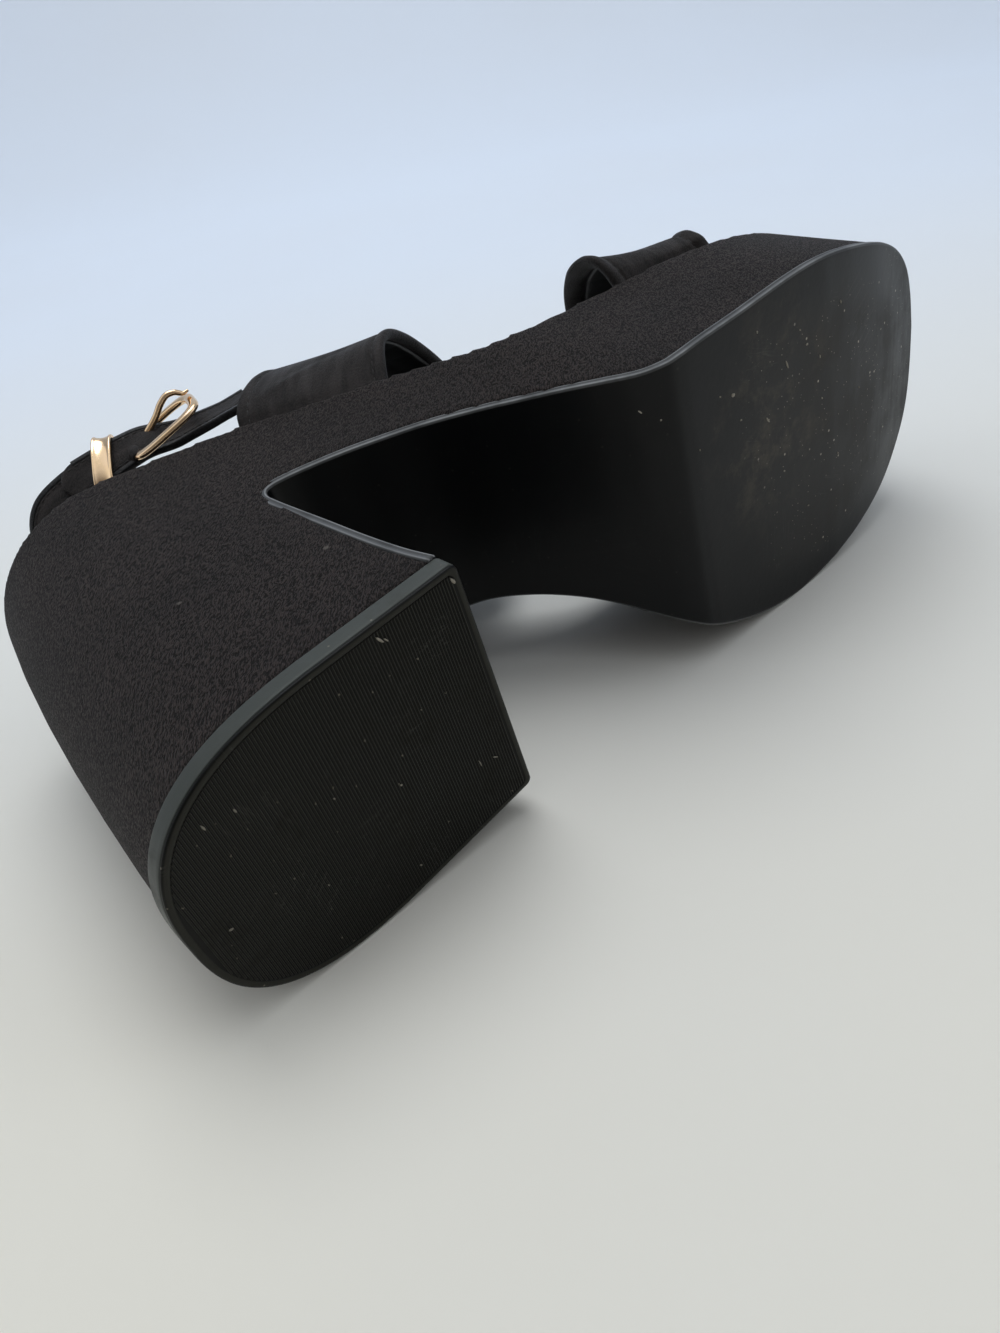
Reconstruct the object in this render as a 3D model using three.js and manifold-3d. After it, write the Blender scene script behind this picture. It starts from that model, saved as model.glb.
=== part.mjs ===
// A right-foot platform sandal with a fabric-wrapped platform and block heel, a moulded outsole,
// a toe strap, an instep strap with its ankle strap, and a gold buckle and keeper.
// It is drawn standing, then laid on its inner side: millimetres, x to the toe, y to the inner
// (medial) side, z up from the ground under the sole.
import * as THREE from 'three';
import { mergeVertices } from 'three/addons/utils/BufferGeometryUtils.js';
import Module from 'manifold-3d';

const wasm = await Module();
wasm.setup();

// Driving dimensions
const HEEL_HEIGHT = 119; // footbed above the ground at the heel seat
const PLATFORM_HEIGHT = 40; // footbed above the ground under the ball
const SHOE_LENGTH = 276.6; // back of the heel tread to the toe, along the ground
const TOE_SPRING = 9.8; // toe tip of the outsole above the ground
const TREAD_LENGTH = 83.2; // heel tread, from the origin to the breast
const TREAD_BACK = 0.4; // how far the tread reaches back of the origin
const TREAD_HALF_WIDTH = 35;
const HEEL_TOP_BACK = 16.2; // how far the back of the heel leans forward at the footbed
const HEEL_TOP_HALF_WIDTH = 36.1;
const HEEL_TOP_SHIFT = 0.5; // how far the heel's top lies to the outer side of its foot
const LIFT_THICKNESS = 5.5;
const OUTSOLE_THICKNESS = 2.2;
const OUTSOLE_PROUD = 0.3; // the outsole's edge stands out past the wrapped wall
const WALL_FLARE = 1; // how far the wall spreads outwards by the heel's full height
const INSOLE_THICKNESS = 1.6;
const INSOLE_INSET = 2.4;
const NOTCH_OUTWARDS = 5; // a notch runs out past the strap so that no sliver stays at the edge
const BAND_WALL = 2.4; // instep strap: two fabrics and thin foam
const TOE_BAND_WALL = 2.8;
const BAND_DIP = 0.8; // how far the middle of a strap's width is drawn in from its edges
const TOE_BAND_DIP = 2.2;
const ANKLE_STRAP = { width: 11.6, thickness: 2.2, billet: 1.5 };
const GAP = 0.3; // clearance between neighbouring pieces
const LAY_ANGLE = THREE.MathUtils.degToRad(7.88); // the inner side's floor line to the x axis

// Side profile of the outsole's outer face, from the tread's front edge up the breast,
// along the arch and under the forefoot to the toe
const soleProfile = [
  { x: 82.6, z: 5.8 }, { x: 81.2, z: 14 }, { x: 80.2, z: 26 }, { x: 79.6, z: 40 },
  { x: 79, z: 52 }, { x: 78.7, z: 60 }, { x: 78.9, z: 64.4 }, { x: 80.8, z: 66.9 },
  { x: 84.6, z: 66.8 }, { x: 92, z: 64.6 }, { x: 104, z: 59 }, { x: 117, z: 50 }, { x: 127, z: 38.2 },
  { x: 135.5, z: 25.2 }, { x: 143, z: 12.3 }, { x: 148, z: 4.4 }, { x: 153, z: 0.8 },
  { x: 157, z: 0.12 }, { x: 160.5, z: 0 }, { x: 165, z: 0 }, { x: 187, z: 0 }, { x: 209, z: 0 },
  { x: 214, z: 0 }, { x: 218, z: 0.14 }, { x: 230, z: 0.9 }, { x: 245, z: 2.8 }, { x: 260, z: 6 },
  { x: SHOE_LENGTH + 8, z: TOE_SPRING + 2.4 },
];

// Side profile of the footbed, which is the wall's top edge
const bedProfile = [
  { x: -12, z: HEEL_HEIGHT + 1 }, { x: 14, z: HEEL_HEIGHT + 1 }, { x: 36, z: HEEL_HEIGHT + 1 },
  { x: 56, z: HEEL_HEIGHT }, { x: 75, z: 113.2 }, { x: 95, z: 104.6 }, { x: 108, z: 96.4 },
  { x: 118, z: 88.6 }, { x: 127, z: 80 }, { x: 136, z: 68.8 }, { x: 146, z: 56.4 }, { x: 155, z: 50.2 },
  { x: 165, z: 47 }, { x: 175, z: 45.4 }, { x: 186, z: 43.6 }, { x: 200, z: PLATFORM_HEIGHT + 1 },
  { x: 215, z: PLATFORM_HEIGHT - 1.4 }, { x: 230, z: PLATFORM_HEIGHT - 0.8 },
  { x: 250, z: PLATFORM_HEIGHT + 2 }, { x: SHOE_LENGTH + 8, z: PLATFORM_HEIGHT + 8 },
];

// Plan outline of the outsole's edge: outer (lateral) side from the breast to the toe tip,
// then the inner (medial) side back to the breast
const outerEdge = [
  { x: 70, y: -34.7 }, { x: 82, y: -34.3 }, { x: 95, y: -34 }, { x: 115, y: -34.2 },
  { x: 130, y: -36.2 }, { x: 142, y: -38.8 }, { x: 152, y: -40.3 }, { x: 165, y: -40.3 },
  { x: 180, y: -39.6 }, { x: 200, y: -38.9 }, { x: 213, y: -37.6 }, { x: 225, y: -34.8 },
  { x: 238, y: -30.4 }, { x: 250, y: -25 }, { x: 262, y: -17.2 }, { x: 270.6, y: -8 },
  { x: 274.8, y: 2 }, { x: SHOE_LENGTH, y: 13 },
];
const innerEdge = [
  { x: SHOE_LENGTH, y: 13 }, { x: 275.6, y: 24 }, { x: 273.2, y: 33.5 }, { x: 268.8, y: 40.2 },
  { x: 262, y: 45.2 }, { x: 253, y: 49.6 }, { x: 242, y: 53.2 }, { x: 228, y: 56 },
  { x: 216, y: 57.3 }, { x: 205, y: 57.8 }, { x: 194, y: 57 }, { x: 184, y: 54.4 },
  { x: 174, y: 50.6 }, { x: 165, y: 46 }, { x: 156, y: 40.3 }, { x: 147, y: 33.5 },
  { x: 136, y: 25.5 }, { x: 124, y: 22.5 }, { x: 112, y: 23.5 }, { x: 95, y: 28 },
  { x: 82, y: 32.2 }, { x: 70, y: 34.6 },
];

// Strap sections: across the foot from the outer edge, and rise along the strap's own plane
const toeRearArch = [
  { across: 2.4, rise: -8 }, { across: 0.6, rise: -1 }, { across: -4.8, rise: 3 },
  { across: -7.7, rise: 7.4 }, { across: -7.4, rise: 12 }, { across: -4.8, rise: 17.6 },
  { across: 0.4, rise: 23.4 }, { across: 10, rise: 28.6 }, { across: 26, rise: 32 },
  { across: 45, rise: 32.8 }, { across: 64, rise: 31 }, { across: 80, rise: 26 },
  { across: 92, rise: 18 }, { across: 98, rise: 10.4 }, { across: 99, rise: 4.4 },
  { across: 96.6, rise: -1 }, { across: 95, rise: -8 },
];
const toeFrontArch = [
  { across: 2.2, rise: -8 }, { across: 0.6, rise: -1 }, { across: -2.2, rise: 1.8 },
  { across: -3.1, rise: 5 }, { across: -2.8, rise: 8.6 }, { across: -0.4, rise: 13 },
  { across: 4.8, rise: 17.2 }, { across: 13.4, rise: 20.8 }, { across: 27, rise: 23.4 },
  { across: 44, rise: 24.2 }, { across: 61, rise: 22.8 }, { across: 76, rise: 18.8 },
  { across: 87, rise: 13 }, { across: 92.6, rise: 7 }, { across: 93, rise: 3 },
  { across: 91.4, rise: -1 }, { across: 90, rise: -8 },
];
const instepRearArch = [
  { across: 1.6, rise: -10 }, { across: 0.4, rise: -1 }, { across: -3.4, rise: 4.4 },
  { across: -5.4, rise: 10 }, { across: -5.8, rise: 16 }, { across: -4.8, rise: 25 },
  { across: -1.2, rise: 34 }, { across: 6, rise: 43.4 }, { across: 17, rise: 50 },
  { across: 29, rise: 52 }, { across: 41, rise: 49.4 }, { across: 52, rise: 42 },
  { across: 59.5, rise: 32 }, { across: 63, rise: 20 }, { across: 63.6, rise: 8 },
  { across: 62, rise: -4 }, { across: 59.4, rise: -24 },
];
const instepFrontArch = [
  { across: 1.6, rise: -10 }, { across: 0.2, rise: -1 }, { across: -3.6, rise: 6.4 },
  { across: -6.2, rise: 12.4 }, { across: -7, rise: 18 }, { across: -5.6, rise: 24 },
  { across: -1, rise: 30 }, { across: 6.4, rise: 35.6 }, { across: 17.4, rise: 41 },
  { across: 31, rise: 44.2 }, { across: 44, rise: 41.6 }, { across: 56, rise: 35.4 },
  { across: 65, rise: 25.6 }, { across: 69.6, rise: 14 }, { across: 70.6, rise: 3 },
  { across: 69, rise: -8 }, { across: 66.4, rise: -28 },
];

// Where each strap edge stands: its foot on the outer wall, the turn of its plane seen from
// above, and the lean of its plane towards the toe
const toeRearPlane = { x: 184.4, y: -38.6, z: 42, turn: 10, lean: 7 };
const toeFrontPlane = { x: 219.4, y: -35.8, z: 38.6, turn: 12, lean: 10 };
const instepRearPlane = { x: 94.5, y: -33.2, z: 103, turn: 20, lean: 50 };
const instepFrontPlane = { x: 128.5, y: -34.8, z: 77.5, turn: 20, lean: 50 };

// Ankle strap, middle of its width, from the outer side of the instep strap round the heel.
// lean is how far its top edge tips outwards, in degrees; layers counts the strap thicknesses
const anklePath = [
  { x: 107.1, y: -36.5, z: 112.3, lean: -7, layers: 1 },
  { x: 98.4, y: -35.4, z: 115.4, lean: -7, layers: 1 },
  { x: 88.8, y: -34.6, z: 119.7, lean: 1, layers: 1 },
  { x: 77.2, y: -34.2, z: 124.8, lean: 17, layers: 2 },
  { x: 65.2, y: -33.2, z: 128.8, lean: 31, layers: 2 },
  { x: 55, y: -31.8, z: 131.3, lean: 33, layers: 1 },
  { x: 47.2, y: -29.1, z: 132.2, lean: 30, layers: 1 },
  { x: 42.8, y: -23.7, z: 132.1, lean: 24, layers: 1 },
  { x: 40.4, y: -10, z: 131.6, lean: 14, layers: 1 },
  { x: 41.2, y: 6, z: 131.6, lean: 12, layers: 1 },
  { x: 45.6, y: 19, z: 131.6, lean: 10, layers: 1 },
  { x: 53.4, y: 26.8, z: 130.8, lean: 10, layers: 1 },
  { x: 66, y: 30.4, z: 128, lean: 8, layers: 1 },
  { x: 82, y: 30.6, z: 123, lean: 6, layers: 1 },
  { x: 98, y: 29.4, z: 116.2, lean: 6, layers: 1 },
  { x: 113, y: 28.2, z: 110, lean: 8, layers: 1 },
  { x: 124, y: 26.6, z: 104.8, lean: 12, layers: 1 },
  { x: 131, y: 25, z: 101.6, lean: 14, layers: 1 },
];

// Buckle and keeper
const BUCKLE = {
  x: 83.1, y: -37.6, z: 122.7, long: 23, across: 17.6, bar: 2.1, turn: -17, pitch: 14, lean: -10,
};
const FOLD_WALL = 0.9; // the strap's end is folded round the frame's rear bar
const PRONG = { radius: 0.75, above: 3, hole: 2.8, holeLong: 8.8 };
const KEEPER = { x: 65.6, width: 5.4, wall: 0.9, room: 1.2, slant: 24, long: 15.8 };

// Sampling
const EDGE_STEPS = 44; // along each side of the plan
const PROFILE_STEPS = 44; // along a side profile
const HEEL_STEPS = 26; // round the back of the heel
const ARCH_STEPS = 40; // across a strap
const BAND_STEPS = 5; // along a strap's width
const ANKLE_STEPS = 64; // along the ankle strap

const point = (x, y, z) => new THREE.Vector3(x, y, z);
const radians = THREE.MathUtils.degToRad;
const mix = THREE.MathUtils.lerp;

// A smooth curve through a table's two named columns, in steps of even length
function smoothRow(table, first, second, steps) {
  const curve = new THREE.SplineCurve(table.map((row) => new THREE.Vector2(row[first], row[second])));
  return curve.getSpacedPoints(steps);
}

// One column of a table read at a place between its rows, 0 at the first and 1 at the last
function columnAt(table, column, place) {
  const at = THREE.MathUtils.clamp(place, 0, 1) * (table.length - 1);
  const row = Math.min(Math.floor(at), table.length - 2);
  return mix(table[row][column], table[row + 1][column], at - row);
}

// A closed skin over rings of equal length. End caps close an open run of rings
function skin(rings, { loop = false } = {}) {
  const count = rings[0].length;
  const positions = [];
  const faces = [];
  for (const ring of rings) for (const p of ring) positions.push(p.x, p.y, p.z);
  const last = loop ? rings.length : rings.length - 1;
  for (let i = 0; i < last; i += 1) {
    const here = i * count;
    const next = ((i + 1) % rings.length) * count;
    for (let j = 0; j < count; j += 1) {
      const k = (j + 1) % count;
      faces.push(here + j, here + k, next + k, here + j, next + k, next + j);
    }
  }
  if (!loop) {
    const cap = capFaces(rings[0]);
    const top = (rings.length - 1) * count;
    for (const [a, b, c] of cap) {
      faces.push(c, b, a);
      faces.push(top + a, top + b, top + c);
    }
  }
  const geometry = new THREE.BufferGeometry();
  geometry.setAttribute('position', new THREE.Float32BufferAttribute(positions, 3));
  geometry.setIndex(faces);
  return facingOut(geometry);
}

// Triangles over a flat ring, turned the way the ring runs
function capFaces(ring) {
  const normal = point(0, 0, 0);
  ring.forEach((p, i) => normal.add(p.clone().cross(ring[(i + 1) % ring.length])));
  normal.normalize();
  const u = point(0, 0, 0).subVectors(ring[1], ring[0]);
  u.addScaledVector(normal, -u.dot(normal)).normalize();
  const v = normal.clone().cross(u);
  const flat = ring.map((p) => new THREE.Vector2(p.dot(u), p.dot(v)));
  return THREE.ShapeUtils.triangulateShape(flat, []);
}

function facingOut(geometry) {
  const at = geometry.attributes.position;
  const index = geometry.index.array;
  const [a, b, c] = [point(0, 0, 0), point(0, 0, 0), point(0, 0, 0)];
  let volume = 0;
  for (let i = 0; i < index.length; i += 3) {
    a.fromBufferAttribute(at, index[i]);
    b.fromBufferAttribute(at, index[i + 1]);
    c.fromBufferAttribute(at, index[i + 2]);
    volume += a.dot(b.cross(c));
  }
  if (volume < 0) geometry.setIndex(Array.from(index).reverse());
  return geometry;
}

function solid(geometry) {
  const plain = geometry.clone();
  plain.deleteAttribute('normal');
  plain.deleteAttribute('uv');
  const merged = mergeVertices(plain, 1e-4);
  const mesh = new wasm.Mesh({
    numProp: 3,
    vertProperties: new Float32Array(merged.attributes.position.array),
    triVerts: new Uint32Array(merged.index.array),
  });
  return new wasm.Manifold(mesh);
}

function geometryOf(manifold) {
  const mesh = manifold.getMesh();
  const geometry = new THREE.BufferGeometry();
  geometry.setAttribute('position', new THREE.Float32BufferAttribute(mesh.vertProperties, 3));
  geometry.setIndex(Array.from(mesh.triVerts));
  geometry.computeVertexNormals();
  return geometry;
}

// A side profile given as x, z points, carried straight across the shoe
function acrossShoe(profile, fromY = -80, toY = 90) {
  return skin([fromY, toY].map((y) => profile.map((p) => point(p.x, y, p.y))));
}

// A plan outline given as x, y points, carried straight up
function upright(outline, fromZ, toZ) {
  return skin([fromZ, toZ].map((z) => outline.map((p) => point(p.x, p.y, z))));
}

// The same curve moved sideways by a distance, to the left of its direction
function moved(curve, distance) {
  return curve.map((p, i) => {
    const before = curve[Math.max(i - 1, 0)];
    const after = curve[Math.min(i + 1, curve.length - 1)];
    const along = after.clone().sub(before).normalize();
    return new THREE.Vector2(p.x - along.y * distance, p.y + along.x * distance);
  });
}

// The two long edges of the sole, drawn in from the outsole's edge by a distance
function soleEdges(inset) {
  const outer = smoothRow(outerEdge, 'x', 'y', EDGE_STEPS);
  const inner = smoothRow(innerEdge, 'x', 'y', EDGE_STEPS);
  const whole = moved([...outer, ...inner.slice(1)], inset);
  return whole;
}

// Back of the heel at a height: a superellipse whose tip leans forward as it rises.
// share is 0 at the ground and 1 at the footbed
function heelBack(z, inset) {
  const share = Math.max(z, 0) / HEEL_HEIGHT;
  const tip = HEEL_TOP_BACK * mix(share, share ** 3, 0.33) - TREAD_BACK + inset;
  const centre = mix(45, 53.5, share);
  const half = mix(TREAD_HALF_WIDTH, HEEL_TOP_HALF_WIDTH, share) - inset;
  const power = mix(2.6, 2.25, share);
  const points = [];
  for (let i = 0; i <= HEEL_STEPS; i += 1) {
    const angle = Math.PI / 2 - (Math.PI * i) / HEEL_STEPS;
    const cos = Math.cos(angle);
    const sin = Math.sin(angle);
    const x = centre - (centre - tip) * Math.abs(cos) ** (2 / power);
    const y = half * Math.sign(sin) * Math.abs(sin) ** (2 / power);
    points.push(new THREE.Vector2(x, y - HEEL_TOP_SHIFT * share));
  }
  return points;
}

function bedCurve(lift) {
  return moved(smoothRow(bedProfile, 'x', 'z', PROFILE_STEPS), lift);
}

// Everything under a surface that lies a little above the footbed
function underBed(lift) {
  const top = bedCurve(lift);
  const below = [new THREE.Vector2(top[top.length - 1].x, -30), new THREE.Vector2(top[0].x, -30)];
  return solid(acrossShoe([...top, ...below]));
}

// The wrapped platform and heel: plan sections stacked up the heel, cut by the side profile
function platform() {
  const heights = [-1, 20, 40, 60, 80, 100, HEEL_HEIGHT + 6];
  const rings = heights.map((z) => {
    const inset = OUTSOLE_PROUD - (WALL_FLARE * Math.max(z, 0)) / HEEL_HEIGHT;
    return [...soleEdges(inset), ...heelBack(z, OUTSOLE_PROUD)].map((p) => point(p.x, p.y, z));
  });
  const block = solid(skin(rings));
  const under = moved(smoothRow(soleProfile, 'x', 'z', PROFILE_STEPS), OUTSOLE_THICKNESS + GAP * 1.3);
  under[0].y = LIFT_THICKNESS + GAP;
  const front = [under[under.length - 1].y, HEEL_HEIGHT + 20]
    .map((z) => new THREE.Vector2(SHOE_LENGTH + 20, z));
  const back = [HEEL_HEIGHT + 20, LIFT_THICKNESS + GAP].map((z) => new THREE.Vector2(-20, z));
  const side = solid(acrossShoe([...under, ...front, ...back]));
  return block.intersect(side).intersect(underBed(0));
}

// The moulded outsole: one sheet from the top of the heel's lift up the breast to the toe
function outsole() {
  const face = smoothRow(soleProfile, 'x', 'z', PROFILE_STEPS);
  const back = moved(face, OUTSOLE_THICKNESS);
  const sheet = solid(acrossShoe([...face, ...back.reverse()]));
  const plan = solid(upright(soleEdges(0), -5, HEEL_HEIGHT));
  const aboveLift = solid(upright(boxOutline(60, -80, SHOE_LENGTH + 30, 90), LIFT_THICKNESS + GAP, 90));
  const forefoot = solid(upright(boxOutline(100, -80, SHOE_LENGTH + 30, 90), -5, 90));
  return sheet.intersect(plan).intersect(aboveLift.add(forefoot));
}

function boxOutline(x0, y0, x1, y1) {
  return [[x0, y0], [x1, y0], [x1, y1], [x0, y1]].map(([x, y]) => new THREE.Vector2(x, y));
}

// The heel's tread block, straight across the breast
function topLift() {
  const back = heelBack(0, 0);
  const corner = 1.6;
  const halfFront = TREAD_HALF_WIDTH - 1.1;
  const front = [
    [TREAD_LENGTH - corner, -halfFront], [TREAD_LENGTH, -halfFront + corner],
    [TREAD_LENGTH, halfFront - corner], [TREAD_LENGTH - corner, halfFront],
  ].map(([x, y]) => new THREE.Vector2(x, y));
  return solid(upright([...back, ...front], 0, LIFT_THICKNESS));
}

// The thin insole on the footbed, notched where the straps come up
function insole(straps) {
  const inset = INSOLE_INSET + OUTSOLE_PROUD;
  const plan = upright([...soleEdges(inset), ...heelBack(HEEL_HEIGHT, inset)], 0, HEEL_HEIGHT + 20);
  const sheet = underBed(GAP + INSOLE_THICKNESS).subtract(underBed(GAP)).intersect(solid(plan));
  return straps.reduce((left, strap) => left.subtract(strap), sheet);
}

// A strap's edge in space, from its arch table and its plane
function archPoints(arch, plane, shrink) {
  const turn = radians(plane.turn);
  const lean = radians(plane.lean);
  const across = point(Math.sin(turn), Math.cos(turn), 0);
  const rise = point(Math.sin(lean), 0, Math.cos(lean));
  const curve = moved(smoothRow(arch, 'across', 'rise', ARCH_STEPS), -shrink);
  return curve.map((p) => point(plane.x, plane.y, plane.z)
    .addScaledVector(across, p.x).addScaledVector(rise, p.y));
}

// A strap over the foot, with a wall between its outer and inner arches. Its edges are rounded
// and flare out, because the middle of its width is drawn in
function band(rear, rearPlane, front, frontPlane, wall, drawnIn, grow = 0, outwards = grow) {
  const layer = (depth, place) => {
    const a = archPoints(rear, rearPlane, depth);
    const b = archPoints(front, frontPlane, depth);
    return a.map((p, i) => p.clone().lerp(b[i], place));
  };
  const outer = [];
  const inner = [];
  for (let i = 0; i <= BAND_STEPS; i += 1) {
    const place = i / BAND_STEPS;
    const atEdge = i === 0 || i === BAND_STEPS;
    const spread = grow * (place * 2 - 1) * 0.03;
    const round = atEdge ? wall * 0.3 : 0;
    const dip = drawnIn * Math.sin(Math.PI * place) ** 0.6;
    outer.push(layer(round + dip - outwards, place + spread));
    inner.push(layer(wall - round + dip + grow, place + spread));
  }
  const rings = outer[0].map((_, s) => [
    ...outer.map((line) => line[s]), ...inner.map((line) => line[s]).reverse(),
  ]);
  return solid(skin(rings));
}

function toeBand(grow, outwards) {
  return band(toeRearArch, toeRearPlane, toeFrontArch, toeFrontPlane,
    TOE_BAND_WALL, TOE_BAND_DIP, grow, outwards);
}

function instepBand(grow, outwards) {
  return band(instepRearArch, instepRearPlane, instepFrontArch, instepFrontPlane,
    BAND_WALL, BAND_DIP, grow, outwards);
}

// The ankle strap's middle line and, at each place on it, its directions and layers
const ankleCurve = new THREE.CatmullRomCurve3(anklePath.map((row) => point(row.x, row.y, row.z)));

function ankleFrame(place) {
  const centre = ankleCurve.getPoint(place);
  const along = ankleCurve.getTangent(place);
  const level = point(along.x, along.y, 0).normalize();
  const outward = point(level.y, -level.x, 0).negate();
  if (outward.dot(point(centre.x - 75, centre.y, 0)) < 0) outward.negate();
  const lean = radians(columnAt(anklePath, 'lean', place));
  const width = point(0, 0, Math.cos(lean)).addScaledVector(outward, Math.sin(lean));
  width.addScaledVector(along, -width.dot(along)).normalize();
  const out = along.clone().cross(width).normalize();
  if (out.dot(outward) < 0) out.negate();
  return { centre, along, width, out, layers: columnAt(anklePath, 'layers', place) };
}

// A flat strap's section with rounded corners, thicker where the billet lies over it
function strapRing(frame, extra = 0) {
  const half = ANKLE_STRAP.width / 2 + extra;
  const inner = ANKLE_STRAP.thickness / 2 + extra;
  const outer = inner + (frame.layers - 1) * ANKLE_STRAP.billet;
  const round = 0.8;
  const corners = [
    [-half, -inner + round], [-half + round, -inner], [half - round, -inner],
    [half, -inner + round], [half, outer - round], [half - round, outer],
    [-half + round, outer], [-half, outer - round],
  ];
  return corners.map(([w, o]) => frame.centre.clone()
    .addScaledVector(frame.width, w).addScaledVector(frame.out, o));
}

function ankleStrap() {
  const rings = [];
  for (let i = 0; i <= ANKLE_STEPS; i += 1) rings.push(strapRing(ankleFrame(i / ANKLE_STEPS)));
  return solid(skin(rings));
}

// Place on the ankle strap's outer run where its middle line crosses an x
function anklePlaceAt(x) {
  let low = 0;
  let high = 0.4;
  for (let i = 0; i < 40; i += 1) {
    const middle = (low + high) / 2;
    if (ankleCurve.getPoint(middle).x > x) low = middle;
    else high = middle;
  }
  return low;
}

// The upper of the sandal's back half: instep strap and ankle strap joined, the strap's end folded
// round the buckle's rear bar, and the prong's slot
function instepStrap() {
  const rear = (BUCKLE.bar - BUCKLE.long) / 2;
  const reach = ANKLE_STRAP.width / 2;
  const fold = rod([onBuckle(rear, -reach, 0), onBuckle(rear, reach, 0)],
    BUCKLE.bar / 2 + GAP + FOLD_WALL, 1);
  const slot = (depth) => [[0, -1], [1, -1], [1, 1], [0, 1]]
    .map(([a, w]) => onBuckle(rear + a * PRONG.holeLong, PRONG.above + (w * PRONG.hole) / 2, depth));
  return instepBand().add(ankleStrap()).add(fold).subtract(underBed(GAP))
    .subtract(buckleFrame(GAP)).subtract(solid(skin([slot(-6), slot(9)])));
}

// Directions of the buckle's own plane: long along the strap, across it, and outwards
function buckleAxes() {
  const turn = radians(BUCKLE.turn);
  const pitch = radians(BUCKLE.pitch);
  const lean = radians(BUCKLE.lean);
  const level = point(Math.cos(turn), Math.sin(turn), 0);
  const side = point(Math.sin(turn), -Math.cos(turn), 0);
  const long = point(0, 0, -Math.sin(pitch)).addScaledVector(level, Math.cos(pitch));
  const rise = point(0, 0, Math.cos(pitch)).addScaledVector(level, Math.sin(pitch));
  const across = rise.multiplyScalar(Math.cos(lean)).addScaledVector(side, Math.sin(lean));
  return { long, across, out: long.clone().cross(across) };
}

function onBuckle(long, across, out) {
  const axes = buckleAxes();
  return point(BUCKLE.x, BUCKLE.y, BUCKLE.z).addScaledVector(axes.long, long)
    .addScaledVector(axes.across, across).addScaledVector(axes.out, out);
}

// The frame: a round-cornered loop of rounded bar. grow thickens the bar to cut its clearance
function buckleFrame(grow = 0) {
  const halfLong = (BUCKLE.long - BUCKLE.bar) / 2;
  const halfAcross = (BUCKLE.across - BUCKLE.bar) / 2;
  const power = 4.5;
  const rings = [];
  const steps = 40;
  for (let i = 0; i < steps; i += 1) {
    const angle = (2 * Math.PI * i) / steps;
    const cos = Math.cos(angle);
    const sin = Math.sin(angle);
    const c = Math.sign(cos) * Math.abs(cos) ** (2 / power);
    const s = Math.sign(sin) * Math.abs(sin) ** (2 / power);
    const ring = [];
    for (let k = 0; k < 10; k += 1) {
      const turn = (2 * Math.PI * k) / 10;
      const reach = (BUCKLE.bar / 2 + grow) * Math.cos(turn);
      const depth = (BUCKLE.bar * 0.4 + grow) * Math.sin(turn);
      ring.push(onBuckle(c * (halfLong + reach), s * (halfAcross + reach), depth));
    }
    rings.push(ring);
  }
  return solid(skin(rings, { loop: true }));
}

// A round rod along a smooth path
function rod(path, radius, steps) {
  const curve = new THREE.CatmullRomCurve3(path);
  const rings = [];
  for (let i = 0; i <= steps; i += 1) {
    const centre = curve.getPoint(i / steps);
    const along = curve.getTangent(i / steps);
    const side = point(0, 0, 1).cross(along).normalize();
    const up = along.clone().cross(side);
    const ring = [];
    for (let k = 0; k < 8; k += 1) {
      const turn = (Math.PI * k) / 4;
      ring.push(centre.clone().addScaledVector(side, radius * Math.cos(turn))
        .addScaledVector(up, radius * Math.sin(turn)));
    }
    rings.push(ring);
  }
  return solid(skin(rings));
}

// The prong: from the frame's rear bar out through the slot, over and down onto the front bar
function buckleProng() {
  const front = (BUCKLE.long - BUCKLE.bar) / 2;
  const base = -front + BUCKLE.bar / 2 + PRONG.radius + GAP;
  const rest = BUCKLE.bar * 0.4 + PRONG.radius + GAP;
  const path = [
    [base, -0.6], [-6, 0.4], [-3, 1.2], [0, 2.3], [3, 3.9], [5.6, 4.6], [8, 3.6],
    [front - 0.4, rest + 0.2], [front + 1.4, rest],
  ].map(([along, out]) => onBuckle(along, PRONG.above, out));
  return rod(path, PRONG.radius, 28);
}

// The keeper: a flat gold loop round both layers of the strap
function keeperLoop() {
  const middle = anklePlaceAt(KEEPER.x);
  const reach = KEEPER.width / 2;
  const frame = ankleFrame(middle);
  const slant = radians(KEEPER.slant);
  const width = frame.width.clone().multiplyScalar(Math.cos(slant))
    .addScaledVector(frame.along, -Math.sin(slant));
  const along = frame.along.clone().multiplyScalar(Math.cos(slant))
    .addScaledVector(frame.width, Math.sin(slant));
  const ring = (offset, grow) => {
    const half = KEEPER.long / 2 + grow;
    const inner = -ANKLE_STRAP.thickness / 2 - KEEPER.room - grow;
    const outer = ANKLE_STRAP.thickness / 2 + ANKLE_STRAP.billet + KEEPER.room + grow;
    const depth = (outer - inner) / 2;
    const points = [];
    for (let k = 0; k < 36; k += 1) {
      const angle = (2 * Math.PI * k) / 36;
      const cos = Math.cos(angle);
      const sin = Math.sin(angle);
      const w = Math.sign(cos) * Math.abs(cos) ** (2 / 5) * half;
      const o = (inner + outer) / 2 + Math.sign(sin) * Math.abs(sin) ** (2 / 5) * depth;
      points.push(frame.centre.clone().addScaledVector(along, offset)
        .addScaledVector(width, w).addScaledVector(frame.out, o));
    }
    return points;
  };
  const whole = solid(skin([ring(-reach, KEEPER.wall), ring(reach, KEEPER.wall)]));
  return whole.subtract(solid(skin([ring(-reach - 2, 0), ring(reach + 2, 0)])));
}

// The floor that the laid shoe touches, as a solid on its inner side
function floorSide(clearance) {
  const reach = 400;
  const along = new THREE.Vector2(Math.cos(LAY_ANGLE), Math.sin(LAY_ANGLE));
  const away = new THREE.Vector2(-along.y, along.x);
  const corner = (a, b) => new THREE.Vector2(along.x * a + away.x * b, along.y * a + away.y * b);
  const near = floorDistance() - clearance;
  const outline = [corner(-reach, near), corner(reach, near), corner(reach, reach), corner(-reach, reach)];
  return solid(upright(outline, -50, 250));
}

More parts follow.
